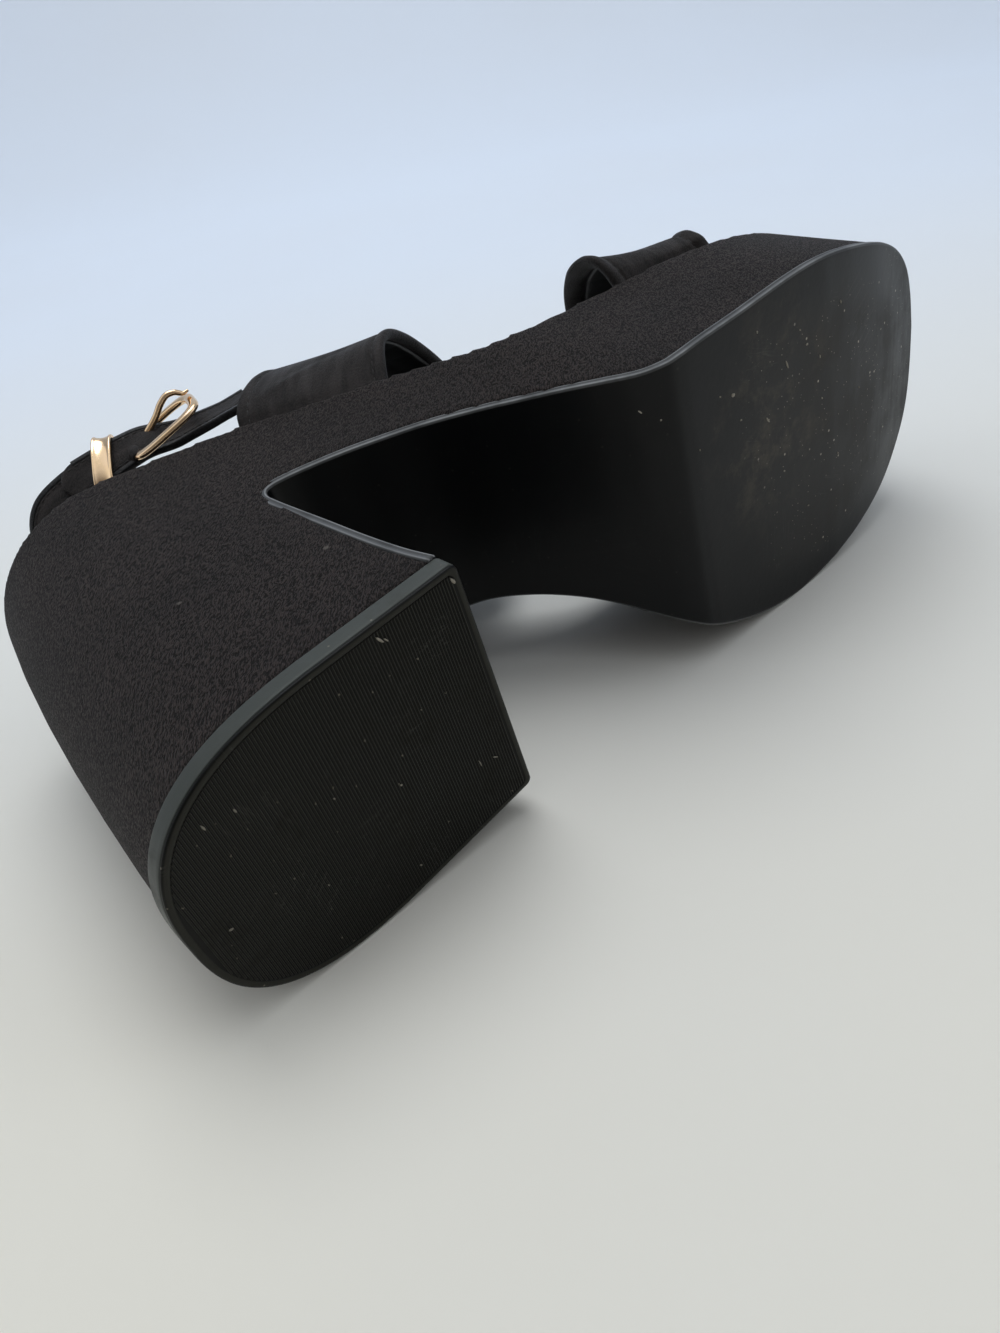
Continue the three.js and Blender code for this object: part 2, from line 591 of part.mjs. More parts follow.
// How far the laid shoe's floor is from the x axis line, from the ball of the sole
function floorDistance() {
  const away = new THREE.Vector2(-Math.sin(LAY_ANGLE), Math.cos(LAY_ANGLE));
  return Math.max(...soleEdges(0).map((p) => p.dot(away)));
}

const finishes = {
  fabric: { color: 0x2a2422, roughness: 0.92, metalness: 0 },
  strapFabric: { color: 0x262220, roughness: 0.85, metalness: 0 },
  sole: { color: 0x24262a, roughness: 0.5, metalness: 0 },
  tread: { color: 0x2f302c, roughness: 0.6, metalness: 0 },
  lining: { color: 0x1b1b1e, roughness: 0.45, metalness: 0 },
  gold: { color: 0xd9b36a, roughness: 0.2, metalness: 1 },
};

function piece(name, manifold, finish) {
  const mesh = new THREE.Mesh(geometryOf(manifold), new THREE.MeshStandardMaterial(finishes[finish]));
  mesh.name = name;
  return mesh;
}

const shoe = new THREE.Group();
const toeSolid = toeBand().subtract(underBed(GAP)).subtract(floorSide(0));
const instepSolid = instepStrap();
const notches = [toeBand(GAP, NOTCH_OUTWARDS), instepBand(GAP, NOTCH_OUTWARDS)];
shoe.add(
  piece('outsole', outsole(), 'sole'),
  piece('top_lift', topLift(), 'tread'),
  piece('platform', platform(), 'fabric'),
  piece('insole', insole(notches), 'lining'),
  piece('toe_strap', toeSolid, 'strapFabric'),
  piece('instep_strap', instepSolid, 'strapFabric'),
  piece('buckle_frame', buckleFrame(), 'gold'),
  piece('buckle_prong', buckleProng(), 'gold'),
  piece('keeper_loop', keeperLoop(), 'gold'),
);

// Lay the shoe on its inner side: toe along +X, outer side up, sole facing -Y
const turned = new THREE.Group();
turned.rotation.z = -LAY_ANGLE;
turned.add(shoe);
const laid = new THREE.Group();
laid.rotation.x = -Math.PI / 2;
laid.add(turned);
const part = new THREE.Group();
part.add(laid);
part.updateMatrixWorld(true);
const box = new THREE.Box3().setFromObject(part, true);
laid.position.set(-(box.min.x + box.max.x) / 2, -(box.min.y + box.max.y) / 2, -box.min.z);

export default part;
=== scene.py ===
# %% [markdown]
# # A platform sandal on its side
#
# This script dresses a plain CAD model of a right-foot platform sandal until it looks
# worn and real. The CAD model, called the frame here, gives every main shape and size.
# Lengths in the tables are millimetres in the shoe's own directions: x runs forward from
# the back of the heel's tread, y to the inner side and z up from the ground. The scene
# itself is in metres, and in it the shoe lies on its inner side with the toe towards +X.

import math
import random

import bmesh
import bpy
import numpy as np
from mathutils import Matrix, Vector
from mathutils.kdtree import KDTree


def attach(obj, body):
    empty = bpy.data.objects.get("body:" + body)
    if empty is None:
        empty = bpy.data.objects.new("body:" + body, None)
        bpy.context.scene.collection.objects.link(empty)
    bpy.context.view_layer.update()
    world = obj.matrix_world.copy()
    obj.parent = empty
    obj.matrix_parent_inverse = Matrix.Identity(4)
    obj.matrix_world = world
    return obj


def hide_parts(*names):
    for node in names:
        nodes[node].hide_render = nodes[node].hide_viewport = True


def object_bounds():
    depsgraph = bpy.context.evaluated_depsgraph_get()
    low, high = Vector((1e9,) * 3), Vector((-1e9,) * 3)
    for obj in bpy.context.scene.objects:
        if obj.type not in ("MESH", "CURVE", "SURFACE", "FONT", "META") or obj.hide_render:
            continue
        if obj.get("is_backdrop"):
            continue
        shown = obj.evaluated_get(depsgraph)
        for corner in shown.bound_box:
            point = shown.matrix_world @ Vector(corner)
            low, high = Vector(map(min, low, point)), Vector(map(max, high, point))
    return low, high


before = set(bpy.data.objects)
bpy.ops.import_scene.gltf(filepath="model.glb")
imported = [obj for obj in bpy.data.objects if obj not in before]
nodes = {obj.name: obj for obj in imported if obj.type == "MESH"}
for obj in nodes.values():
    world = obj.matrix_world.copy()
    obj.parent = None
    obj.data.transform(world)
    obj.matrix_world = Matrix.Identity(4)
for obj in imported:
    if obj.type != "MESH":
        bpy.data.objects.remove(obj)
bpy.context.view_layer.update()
print("nodes:", sorted(nodes))

# %% [markdown]
# ## From the shoe's directions to the scene's
#
# The shoe is easiest to describe standing: a heel height, a width, a height above the
# ground. The scene needs it lying down. One turn and one shift do that for every point,
# and the same numbers also let a material know how high above the ground it is.

# %% The turn and the shift
LAY_ANGLE = math.radians(7.88)
COS, SIN = math.cos(LAY_ANGLE), math.sin(LAY_ANGLE)
SHIFT = np.array([-137.6464, -68.7595, 29.8956])
TURN = np.array([[COS, SIN, 0], [0, 0, 1], [SIN, -COS, 0]])
MM = 0.001


def laid(points):
    """Shoe millimetres to scene metres, for one point or a row of them."""
    return (np.asarray(points, float) @ TURN.T + SHIFT) * MM


def standing(points):
    """Scene metres back to shoe millimetres."""
    return (np.asarray(points, float) / MM - SHIFT) @ TURN


print("toe tip in the scene:", laid([276.6, 13, 9.8]).round(4))

# %% [markdown]
# ## Curves through a few points
#
# A sole or a strap is drawn by a handful of points and a smooth curve through them. The
# Catmull-Rom curve passes through every point, so each number in a table is a place on
# the real shoe. The curve is then read in even steps, because even steps give even faces.


# %% Smooth curves
CURVE_STEPS = 24


def run_along(line):
    """Length of the line up to each of its points."""
    steps = np.linalg.norm(np.diff(line, axis=0), axis=1)
    return np.concatenate([[0], np.cumsum(steps)])


def read_at(places, run, rows):
    """The columns of a table read at places along its run."""
    return np.stack([np.interp(places, run, rows[:, k]) for k in range(rows.shape[1])], axis=1)


def even_steps(line, count):
    """The same line with count points, evenly spaced along it."""
    run = run_along(line)
    return read_at(np.linspace(0, run[-1], count), run, line)


def bend(here, there, leaving, arriving):
    """A cubic from one point to the next that leaves and arrives in given directions."""
    t = np.linspace(0, 1, CURVE_STEPS, endpoint=False)[:, None]
    return (
        (2 * here - 2 * there + leaving + arriving) * t**3
        + (-3 * here + 3 * there - 2 * leaving - arriving) * t**2
        + leaving * t
        + here
    )


def smooth_line(table, count):
    """A uniform Catmull-Rom curve through the table's rows, in even steps."""
    rows = np.asarray(table, float)
    padded_rows = np.concatenate([rows[:1], rows, rows[-1:]])
    parts = []
    for i in range(len(rows) - 1):
        a, b, c, d = padded_rows[i : i + 4]
        parts.append(bend(b, c, (c - a) / 2, (d - b) / 2))
    return even_steps(np.concatenate([*parts, rows[-1:]]), count)


def unit(vectors):
    return vectors / np.linalg.norm(vectors, axis=-1, keepdims=True)


def sideways(line):
    """Unit directions to the left of a flat line, one for each point."""
    along = unit(np.gradient(line, axis=0))
    return np.stack([-along[:, 1], along[:, 0]], axis=1)


def boxed(wave, power):
    """A sine or cosine swollen so that the circle it draws becomes a rounded box."""
    return np.sign(wave) * np.abs(wave) ** power


def eased(share):
    """A share from 0 to 1 with a soft start and end."""
    return share * share * (3 - 2 * share)


print("steps between two rows of a table:", CURVE_STEPS)

# %% [markdown]
# ## Building meshes
#
# Straps, bars and loops are all the same thing to a modeller: a closed section carried
# along a path. `lofted` joins rings of points into one closed skin, and `piece` turns
# faces into an object that rides on the shoe's one body.


# %% Meshes from rings
def placed(name, data):
    """An object for this mesh, light or camera, linked to the scene."""
    made = bpy.data.objects.new(name, data)
    bpy.context.scene.collection.objects.link(made)
    return made


def welded(mesh, reach, mend=False):
    """Joins points closer than reach. Mending also drops thin faces and turns all outwards."""
    shell = bmesh.new()
    shell.from_mesh(mesh)
    bmesh.ops.remove_doubles(shell, verts=shell.verts, dist=reach)
    if mend:
        bmesh.ops.dissolve_degenerate(shell, edges=shell.edges, dist=1e-6)
        bmesh.ops.recalc_face_normals(shell, faces=shell.faces)
    shell.to_mesh(mesh)
    shell.free()


def smooth_shaded(mesh):
    mesh.polygons.foreach_set("use_smooth", [True] * len(mesh.polygons))


def dressed(made, replaces=()):
    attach(made, "root")
    if replaces:
        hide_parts(*replaces)
    print(made.name, len(made.data.polygons), "faces")
    return made


def piece(name, points, faces, material, slot, replaces=()):
    mesh = bpy.data.meshes.new(name)
    mesh.from_pydata([tuple(p) for p in points], [], [tuple(int(i) for i in f) for f in faces])
    welded(mesh, 2e-6, mend=True)
    smooth_shaded(mesh)
    mesh.materials.append(material)
    return dressed(placed(name, mesh), replaces)


def lofted(rings, loop=False):
    """Faces over rings of equal length, closed at both ends by a fan unless it is a loop."""
    count, length = len(rings), len(rings[0])
    points = np.concatenate(rings)
    around = np.arange(length)
    after = (around + 1) % length
    faces = []
    for i in range(count if loop else count - 1):
        here, there = i * length, ((i + 1) % count) * length
        faces += np.stack([here + around, here + after, there + after, there + around], 1).tolist()
    if not loop:
        middles = np.array([rings[0].mean(axis=0), rings[-1].mean(axis=0)])
        points = np.concatenate([points, middles])
        first, last = count * length, (count - 1) * length
        faces += [[first, b, a] for a, b in zip(around, after)]
        faces += [[first + 1, last + a, last + b] for a, b in zip(around, after)]
    return points, faces


# %% [markdown]
# ## Small tools for materials
#
# Materials are wired from nodes. These short helpers add one node at a time, so that the
# recipe of each finish can be read from top to bottom. A value that is the same all over
# a surface is set on the shader itself; only what changes from place to place is wired.


# %% Node helpers
def add(tree, kind, inputs=(), **settings):
    node = tree.nodes.new(kind)
    for name, value in settings.items():
        setattr(node, name, value)
    for key, value in dict(inputs).items():
        if isinstance(value, bpy.types.NodeSocket):
            tree.links.new(value, node.inputs[key])
        else:
            node.inputs[key].default_value = value
    return node


def first_out(tree, kind, inputs=(), **settings):
    return add(tree, kind, inputs, **settings).outputs[0]


def calc(tree, operation, a, b=0.0):
    return first_out(tree, "ShaderNodeMath", {0: a, 1: b}, operation=operation)


def times(tree, a, b):
    return calc(tree, "MULTIPLY", a, b)


def ramp(tree, value, low, high, start=0.0, end=1.0):
    """Value taken from low..high to start..end with soft ends."""
    sockets = {"Value": value, 1: low, 2: high, 3: start, 4: end}
    return first_out(tree, "ShaderNodeMapRange", sockets, interpolation_type="SMOOTHSTEP")


def near(tree, value, middle, inner, outer):
    """1 close to the middle value, falling to 0 between two distances from it."""
    off = calc(tree, "ABSOLUTE", calc(tree, "SUBTRACT", value, middle))
    return ramp(tree, off, inner, outer, 1.0, 0.0)


def mixed(tree, share, a, b):
    node = add(tree, "ShaderNodeMix", data_type="RGBA")
    for key, value in ((0, share), (6, a), (7, b)):
        if isinstance(value, bpy.types.NodeSocket):
            tree.links.new(value, node.inputs[key])
        else:
            node.inputs[key].default_value = (*value, 1) if key else value
    return node.outputs[2]


def over(tree, colour, mask, strength, paint):
    """The colour with paint laid over it where the mask says, at most as strong as given."""
    return mixed(tree, times(tree, mask, strength), colour, paint)


def noise(tree, place, scale, detail=3.0, roughness=0.55, stretch=None):
    if stretch:
        place = first_out(tree, "ShaderNodeMapping", {0: place, 3: stretch})
    sockets = {"Vector": place, "Scale": scale, "Detail": detail, "Roughness": roughness}
    return first_out(tree, "ShaderNodeTexNoise", sockets)


def new_material(name, **fixed):
    """A material whose shader has these fixed values, given by the names of its sockets."""
    material = bpy.data.materials.new(name)
    material.use_nodes = True
    tree = material.node_tree
    shader = tree.nodes["Principled BSDF"]
    for key, value in fixed.items():
        shader.inputs[key.replace("_", " ")].default_value = value
    place = add(tree, "ShaderNodeTexCoord").outputs["Object"]
    return material, tree, shader, place


def wired(tree, shader, colour, rough, height, distance, strength=1.0):
    """Gives a surface its colour, roughness and bump. A roughness of None stays as it was set."""
    tree.links.new(colour, shader.inputs["Base Color"])
    if rough is not None:
        tree.links.new(rough, shader.inputs["Roughness"])
    sockets = {"Height": height, "Distance": distance, "Strength": strength}
    tree.links.new(first_out(tree, "ShaderNodeBump", sockets), shader.inputs["Normal"])


# %% [markdown]
# ## Effects that several finishes share
#
# Three effects turn up again and again on this shoe, so each is a node group. `Dust`
# scatters pale specks. `Scratches` draws thin worn lines. `Crepe` is the pebbled cloth:
# rounded grains about a millimetre across, joined into short ridges.


# %% Shader groups
VECTOR, FLOAT, GEOMETRY = "NodeSocketVector", "NodeSocketFloat", "NodeSocketGeometry"


def group(name, inputs, outputs, kind="ShaderNodeTree", output_kind=FLOAT):
    """A node group: its tree, the sockets it is given and the sockets it puts out."""
    tree = bpy.data.node_groups.new(name, kind)
    for title, socket_kind, value in inputs:
        socket = tree.interface.new_socket(title, in_out="INPUT", socket_type=socket_kind)
        if value is not None:
            socket.default_value = value
    for title in outputs:
        tree.interface.new_socket(title, in_out="OUTPUT", socket_type=output_kind)
    return tree, tree.nodes.new("NodeGroupInput").outputs, tree.nodes.new("NodeGroupOutput").inputs


def use(tree, made, **values):
    """The outputs of a node group, given a value or a socket for each named input."""
    sockets = {key.replace("_", " "): value for key, value in values.items()}
    node = tree.nodes.new("ShaderNodeGroup")
    node.node_tree = made
    for key, value in sockets.items():
        if isinstance(value, bpy.types.NodeSocket):
            tree.links.new(value, node.inputs[key])
        else:
            node.inputs[key].default_value = value
    return node.outputs


def turned(tree, place, angle, axis):
    sockets = {"Vector": place, "Angle": angle}
    return first_out(tree, "ShaderNodeVectorRotate", sockets, rotation_type=axis)


def vector_math(tree, operation, sockets):
    return first_out(tree, "ShaderNodeVectorMath", sockets, operation=operation)


# one speck in the middle of a few rare cells
dust, given, result = group(
    "Dust",
    [("Place", VECTOR, None), ("Speck Scale", FLOAT, 260.0), ("Amount", FLOAT, 0.3)],
    ["Specks"],
)
cells = add(dust, "ShaderNodeTexVoronoi", {
    "Vector": given["Place"], "Scale": given["Speck Scale"], "Randomness": 1.0})
rare = first_out(dust, "ShaderNodeSeparateColor", {0: cells.outputs["Color"]})
limit = calc(dust, "SUBTRACT", 1.0, times(dust, given["Amount"], 0.2))
chosen = calc(dust, "GREATER_THAN", rare, limit)
near_middle = ramp(dust, cells.outputs["Distance"], 0.05, 0.16, 1.0, 0.0)
dust.links.new(times(dust, chosen, near_middle), result["Specks"])

# thin lines where a stretched noise passes its middle value, in three directions
scratches, given, result = group(
    "Scratches",
    [("Place", VECTOR, None), ("Scale", FLOAT, 30.0), ("Turn", FLOAT, 0.6)],
    ["Lines"],
)
lines = None
for step, turn in enumerate((0.0, 1.1, 2.3)):
    angle = calc(scratches, "ADD", given["Turn"], turn)
    spun = turned(scratches, given["Place"], angle, "Y_AXIS")
    streak = noise(scratches, spun, given["Scale"], 2.0, 0.5, stretch=(1.0, 1.0, 14.0))
    spread = ramp(scratches, noise(scratches, spun, 24.0 + 9 * step, 2.0), 0.56, 0.66)
    line = times(scratches, near(scratches, streak, 0.5, 0.0, 0.012), spread)
    lines = line if lines is None else calc(scratches, "MAXIMUM", lines, line)
scratches.links.new(lines, result["Lines"])

# ridges across the cloth, bent a little by a colour noise, with finer grains on them
crepe, given, result = group(
    "Crepe",
    [("Place", VECTOR, None), ("Turn", FLOAT, 0.81), ("Fineness", FLOAT, 1.0)],
    ["Height", "Tops"],
)
back = times(crepe, given["Turn"], -1.0)
spun = turned(crepe, given["Place"], back, "Z_AXIS")
warp = add(crepe, "ShaderNodeTexNoise", {"Vector": spun, "Scale": 500.0, "Detail": 1.0}).outputs["Color"]
pull = vector_math(crepe, "SUBTRACT", {0: warp, 1: (0.5, 0.5, 0.5)})
pull = vector_math(crepe, "SCALE", {0: pull, "Scale": 0.0012})
moved = vector_math(crepe, "ADD", {0: spun, 1: pull})
sized = vector_math(crepe, "SCALE", {0: moved, "Scale": given["Fineness"]})
ridge = noise(crepe, sized, 1000.0, 1.5, 0.5, stretch=(0.62, 2.7, 1.7))
small = noise(crepe, sized, 2600.0, 1.0, 0.5)
height = calc(crepe, "ADD", ramp(crepe, ridge, 0.3, 0.7), times(crepe, small, 0.22))
crepe.links.new(height, result["Height"])
crepe.links.new(ramp(crepe, height, 0.35, 1.05), result["Tops"])


def specks(tree, place, scale, amount):
    return use(tree, dust, Place=place, Speck_Scale=scale, Amount=amount)["Specks"]


def worn_lines(tree, place, scale, turn):
    return use(tree, scratches, Place=place, Scale=scale, Turn=turn)["Lines"]


print("shader groups:", [made.name for made in bpy.data.node_groups])

# %% [markdown]
# ## The finishes
#
# The platform and heel are wrapped in a dull black-brown crepe. A real black cloth is
# never quite black: its raised grains catch light and read as warm brown, and the hollows
# between them stay dark. So the colour follows the same height as the bump.


# %% Wrapped wall cloth
WALL_DARK, WALL_LIGHT = (0.0052, 0.0036, 0.0034), (0.0335, 0.0238, 0.0212)
WALL_LINT = (0.2, 0.18, 0.16)
wall_cloth, tree, shader, place = new_material(
    "wall crepe", Roughness=0.85, Sheen_Weight=0.05, Sheen_Roughness=0.5, Specular_IOR_Level=0.2
)
cloth = use(tree, crepe, Place=place, Fineness=1.25)
colour = mixed(tree, cloth["Tops"], WALL_DARK, WALL_LIGHT)
patch = ramp(tree, noise(tree, place, 22.0, 4.0), 0.42, 0.68, 0.0, 0.4)
colour = mixed(tree, patch, colour, tuple(v * 0.7 for v in WALL_DARK))
colour = over(tree, colour, specks(tree, place, 170.0, 0.06), 0.5, WALL_LINT)
rough = ramp(tree, cloth["Tops"], 0.0, 1.0, 0.95, 0.72)
wired(tree, shader, colour, rough, cloth["Height"], 0.00018)
print("wall colour from", WALL_DARK, "to", WALL_LIGHT)

# %% [markdown]
# The outsole is smooth moulded rubber. New it is satin black; under the ball it has been
# walked on, so it is greyer, dusty and finely scratched there, and towards the toe that grey
# is partly a painted reflection. Its side edge is painted pale as a highlight, along two thin
# lines, one at each corner. The mesh carries two measures for that: `edge`, the distance in
# from the outline, and `depth`, the distance through the sheet.


# %% Outsole rubber
def shoe_place(tree, place):
    """Along, across and up in shoe millimetres, worked out from Object coordinates."""
    outputs = []
    for row in TURN.T:
        dot = add(tree, "ShaderNodeVectorMath", {0: place, 1: tuple(row / MM)}, operation="DOT_PRODUCT")
        outputs.append(calc(tree, "SUBTRACT", dot.outputs["Value"], float(SHIFT @ row)))
    return outputs


def spot(tree, axes, centre, reach):
    """1 at a place on the shoe, falling to 0 at the given reach along each direction."""
    total = 0.0
    for axis, middle, size in zip(axes, centre, reach):
        off = calc(tree, "DIVIDE", calc(tree, "SUBTRACT", axis, middle), size)
        total = calc(tree, "ADD", times(tree, off, off), total)
    return ramp(tree, total, 0.0, 1.0, 1.0, 0.0)


outsole_rubber, tree, shader, place = new_material(
    "outsole rubber", Roughness=0.4, Specular_IOR_Level=0.17
)
along, across, _ = shoe_place(tree, place)
edge = add(tree, "ShaderNodeAttribute", attribute_name="edge").outputs["Fac"]
depth = add(tree, "ShaderNodeAttribute", attribute_name="depth").outputs["Fac"]
colour = mixed(tree, noise(tree, place, 60.0, 5.0), (0.0012, 0.0015, 0.0020), (0.0026, 0.0030, 0.0036))

# the ball and the toe have been walked on, but not the strip beside the edge; towards the toe the grey runs
# out to the edge, partly wear and partly a painted reflection
wander = times(tree, calc(tree, "SUBTRACT", noise(tree, place, 30.0, 5.0), 0.5), 44.0)
from_edge = ramp(tree, calc(tree, "ADD", edge, times(tree, wander, 0.3)), 4.0, 20.0)
worn_and_lit = times(tree, ramp(tree, calc(tree, "ADD", along, wander), 160.0, 222.0), from_edge)
worn_and_lit = calc(tree, "MAXIMUM", worn_and_lit, ramp(tree, along, 236.0, 272.0))

# dust lies there in clouds and brush marks, browner in one rubbed patch; towards the toe this grey is also a
# painted reflection
clouds = ramp(tree, noise(tree, place, 48.0, 9.0, 0.72), 0.36, 0.74, 0.4, 1.0)
brushed = noise(tree, place, 150.0, 4.0, 0.6, stretch=(2.2, 1.0, 0.22))
dust_and_reflection = times(tree, worn_and_lit, times(tree, clouds, ramp(tree, brushed, 0.3, 0.7, 0.7, 1.15)))
colour = over(tree, colour, dust_and_reflection, 0.75, (0.047, 0.044, 0.040))
rubbed = spot(tree, (along, across), (190.0, -6.0), (34.0, 38.0))
rubbed = times(tree, rubbed, ramp(tree, noise(tree, place, 85.0, 9.0, 0.75), 0.45, 0.72))
colour = over(tree, colour, rubbed, 0.75, (0.066, 0.053, 0.038))

# scratches, and pale specks of two sizes
scratched = ramp(tree, worn_and_lit, 0.0, 0.5, 0.05, 0.6)
scratched = times(tree, worn_lines(tree, place, 34.0, 0.5), scratched)
colour = over(tree, colour, scratched, 0.45, (0.10, 0.095, 0.085))
speckled = ramp(tree, worn_and_lit, 0.1, 0.6, 0.03, 1.0)
for speck_scale, amount, strength in ((330.0, 1.1, 0.9), (780.0, 2.0, 0.7)):
    crumb = times(tree, specks(tree, place, speck_scale, amount), speckled)
    colour = over(tree, colour, crumb, strength, (0.42, 0.38, 0.31))

# the side edge is painted pale as a highlight, most of all along a line at each corner
on_side = ramp(tree, edge, 0.34, 0.66, 1.0, 0.0)
outer_highlight = near(tree, depth, 0.42, 0.08, 0.36)
inner_highlight = times(tree, near(tree, depth, 1.9, 0.10, 0.40), 0.7)
lines = calc(tree, "MAXIMUM", calc(tree, "MAXIMUM", outer_highlight, inner_highlight), 0.3)
patchy = ramp(tree, noise(tree, place, 90.0, 4.0), 0.3, 0.6, 0.5, 1.0)
edge_highlight = times(tree, times(tree, on_side, lines), patchy)
colour = mixed(tree, edge_highlight, colour, (0.265, 0.270, 0.275))
rough = ramp(tree, calc(tree, "ADD", dust_and_reflection, times(tree, edge_highlight, 0.6)), 0.0, 1.0, 0.34, 0.6)
relief = calc(tree, "SUBTRACT", noise(tree, place, 480.0, 4.0), times(tree, scratched, 0.5))
wired(tree, shader, colour, rough, relief, 0.00003)
print("outsole rubber:", len(tree.nodes), "nodes")

# %% [markdown]
# The heel's tread block is a harder rubber, moulded with fine ribs. Its side band is a
# pale grey-green satin, rubbed lighter than the ribbed face. The mask is simply the
# height above the ground, which every point of the material knows. The same height paints
# the rib tops lighter as a painted highlight and the groove round the block near black as
# painted shade.

# %% Tread rubber
FACE_DARK, FACE_LIGHT, RIB_HIGHLIGHT = (0.0008, 0.0008, 0.0006), (0.0026, 0.0026, 0.0019), (0.0150, 0.0148, 0.0108)
SIDE_DARK, SIDE_LIGHT = (0.046, 0.051, 0.047), (0.078, 0.084, 0.077)
tread_rubber, tree, shader, place = new_material(
    "tread rubber", Roughness=0.45, Specular_IOR_Level=0.16
)
up = shoe_place(tree, place)[2]
face = mixed(tree, noise(tree, place, 90.0, 6.0), FACE_DARK, FACE_LIGHT)
# rib tops painted lighter than the hollows between them: painted highlight and painted shade
face = mixed(tree, ramp(tree, up, 0.015, 0.11), RIB_HIGHLIGHT, face)
side = mixed(tree, noise(tree, place, 45.0, 5.0), SIDE_DARK, SIDE_LIGHT)
colour = mixed(tree, ramp(tree, up, 0.70, 0.98), face, side)
# the groove round the block is painted near black: painted shade
colour = mixed(tree, near(tree, up, 0.86, 0.06, 0.16), colour, (0.001, 0.001, 0.001))
grime = ramp(tree, noise(tree, place, 55.0, 8.0, 0.7), 0.46, 0.7)
colour = over(tree, colour, grime, 0.22, (0.030, 0.028, 0.022))
colour = over(tree, colour, specks(tree, place, 420.0, 0.5), 0.6, (0.28, 0.25, 0.20))
colour = over(tree, colour, worn_lines(tree, place, 40.0, 0.9), 0.25, (0.11, 0.11, 0.10))
rough = ramp(tree, grime, 0.0, 1.0, 0.40, 0.62)
wired(tree, shader, colour, rough, noise(tree, place, 900.0, 3.0), 0.00003)
print("tread rubber:", len(tree.nodes), "nodes")

# %% [markdown]
# The straps are cloth drawn over thin foam, with a finer grain than the wall's. It has been
# pulled along the strap, so its tone changes in long soft streaks. Each strap's mesh has
# a UV map in millimetres, along the strap and across it, and the streaks follow that map.


# %% Strap cloth and lining
def strap_cloth(name, dark, light, roughness):
    material, tree, shader, place = new_material(
        name, Sheen_Weight=0.06, Sheen_Roughness=0.4, Specular_IOR_Level=0.28
    )
    uv = first_out(tree, "ShaderNodeUVMap", uv_map="strap")
    streaks = noise(tree, uv, 1.0, 3.0, 0.5, stretch=(0.05, 0.28, 1.0))
    pebbles = use(tree, crepe, Place=place, Fineness=1.35)
    colour = mixed(tree, ramp(tree, streaks, 0.35, 0.7), dark, light)
    # the grain tops are painted brighter than the cloth: a painted highlight
    lit_tops = ramp(tree, pebbles["Tops"], 0.0, 1.0, 0.0, 0.55)
    colour = mixed(tree, lit_tops, colour, tuple(v * 1.5 for v in light))
    colour = over(tree, colour, specks(tree, place, 300.0, 0.08), 0.4, (0.16, 0.15, 0.14))
    rough = ramp(tree, streaks, 0.3, 0.7, roughness + 0.08, roughness - 0.1)
    wired(tree, shader, colour, rough, pebbles["Height"], 0.00009)
    return material


strap_satin = strap_cloth("strap cloth", (0.0040, 0.0028, 0.0026), (0.0165, 0.0120, 0.0110), 0.7)
binding_cloth = strap_cloth("edge binding", (0.005, 0.005, 0.0055), (0.018, 0.018, 0.020), 0.42)

lining, tree, shader, place = new_material("lining", Specular_IOR_Level=0.4)
grains = add(tree, "ShaderNodeTexVoronoi", {"Vector": place, "Scale": 1400.0}).outputs["Distance"]
tone = noise(tree, place, 40.0, 4.0)
colour = mixed(tree, tone, (0.0018, 0.0020, 0.0026), (0.0042, 0.0046, 0.0060))
wired(tree, shader, colour, ramp(tree, tone, 0.3, 0.7, 0.34, 0.48), grains, 0.00005, 0.8)

thread, tree, shader, place = new_material("thread", Roughness=0.6, Specular_IOR_Level=0.4)
colour = mixed(tree, noise(tree, place, 900.0, 2.0), (0.012, 0.011, 0.011), (0.034, 0.031, 0.030))
wired(tree, shader, colour, None, noise(tree, place, 2600.0, 1.0), 0.00005)
print("cloths:", strap_satin.name, binding_cloth.name, lining.name, thread.name)

# %% [markdown]
# The buckle, prong and keeper are plated a rosy gold. Plating is a mirror with a little
# haze, finer where fingers rub it. Small changes of roughness and colour keep it from
# looking like a drawing of gold.

# %% Gold plate
gold, tree, shader, place = new_material("gold plate", Metallic=1.0)
tone = noise(tree, place, 120.0, 5.0)
colour = mixed(tree, tone, (0.84, 0.56, 0.27), (0.98, 0.74, 0.54))
colour = over(tree, colour, worn_lines(tree, place, 160.0, 0.2), 0.3, (0.55, 0.38, 0.22))
rough = ramp(tree, tone, 0.3, 0.75, 0.10, 0.22)
wired(tree, shader, colour, rough, noise(tree, place, 700.0, 3.0), 0.00002)
print("materials:", [made.name for made in bpy.data.materials])

# %% [markdown]
# ## The sole's outline and profile
#
# Two tables draw the sole: its outline seen from below and its outer face seen from the
# side, from the heel's breast up into the arch and on to the toe.

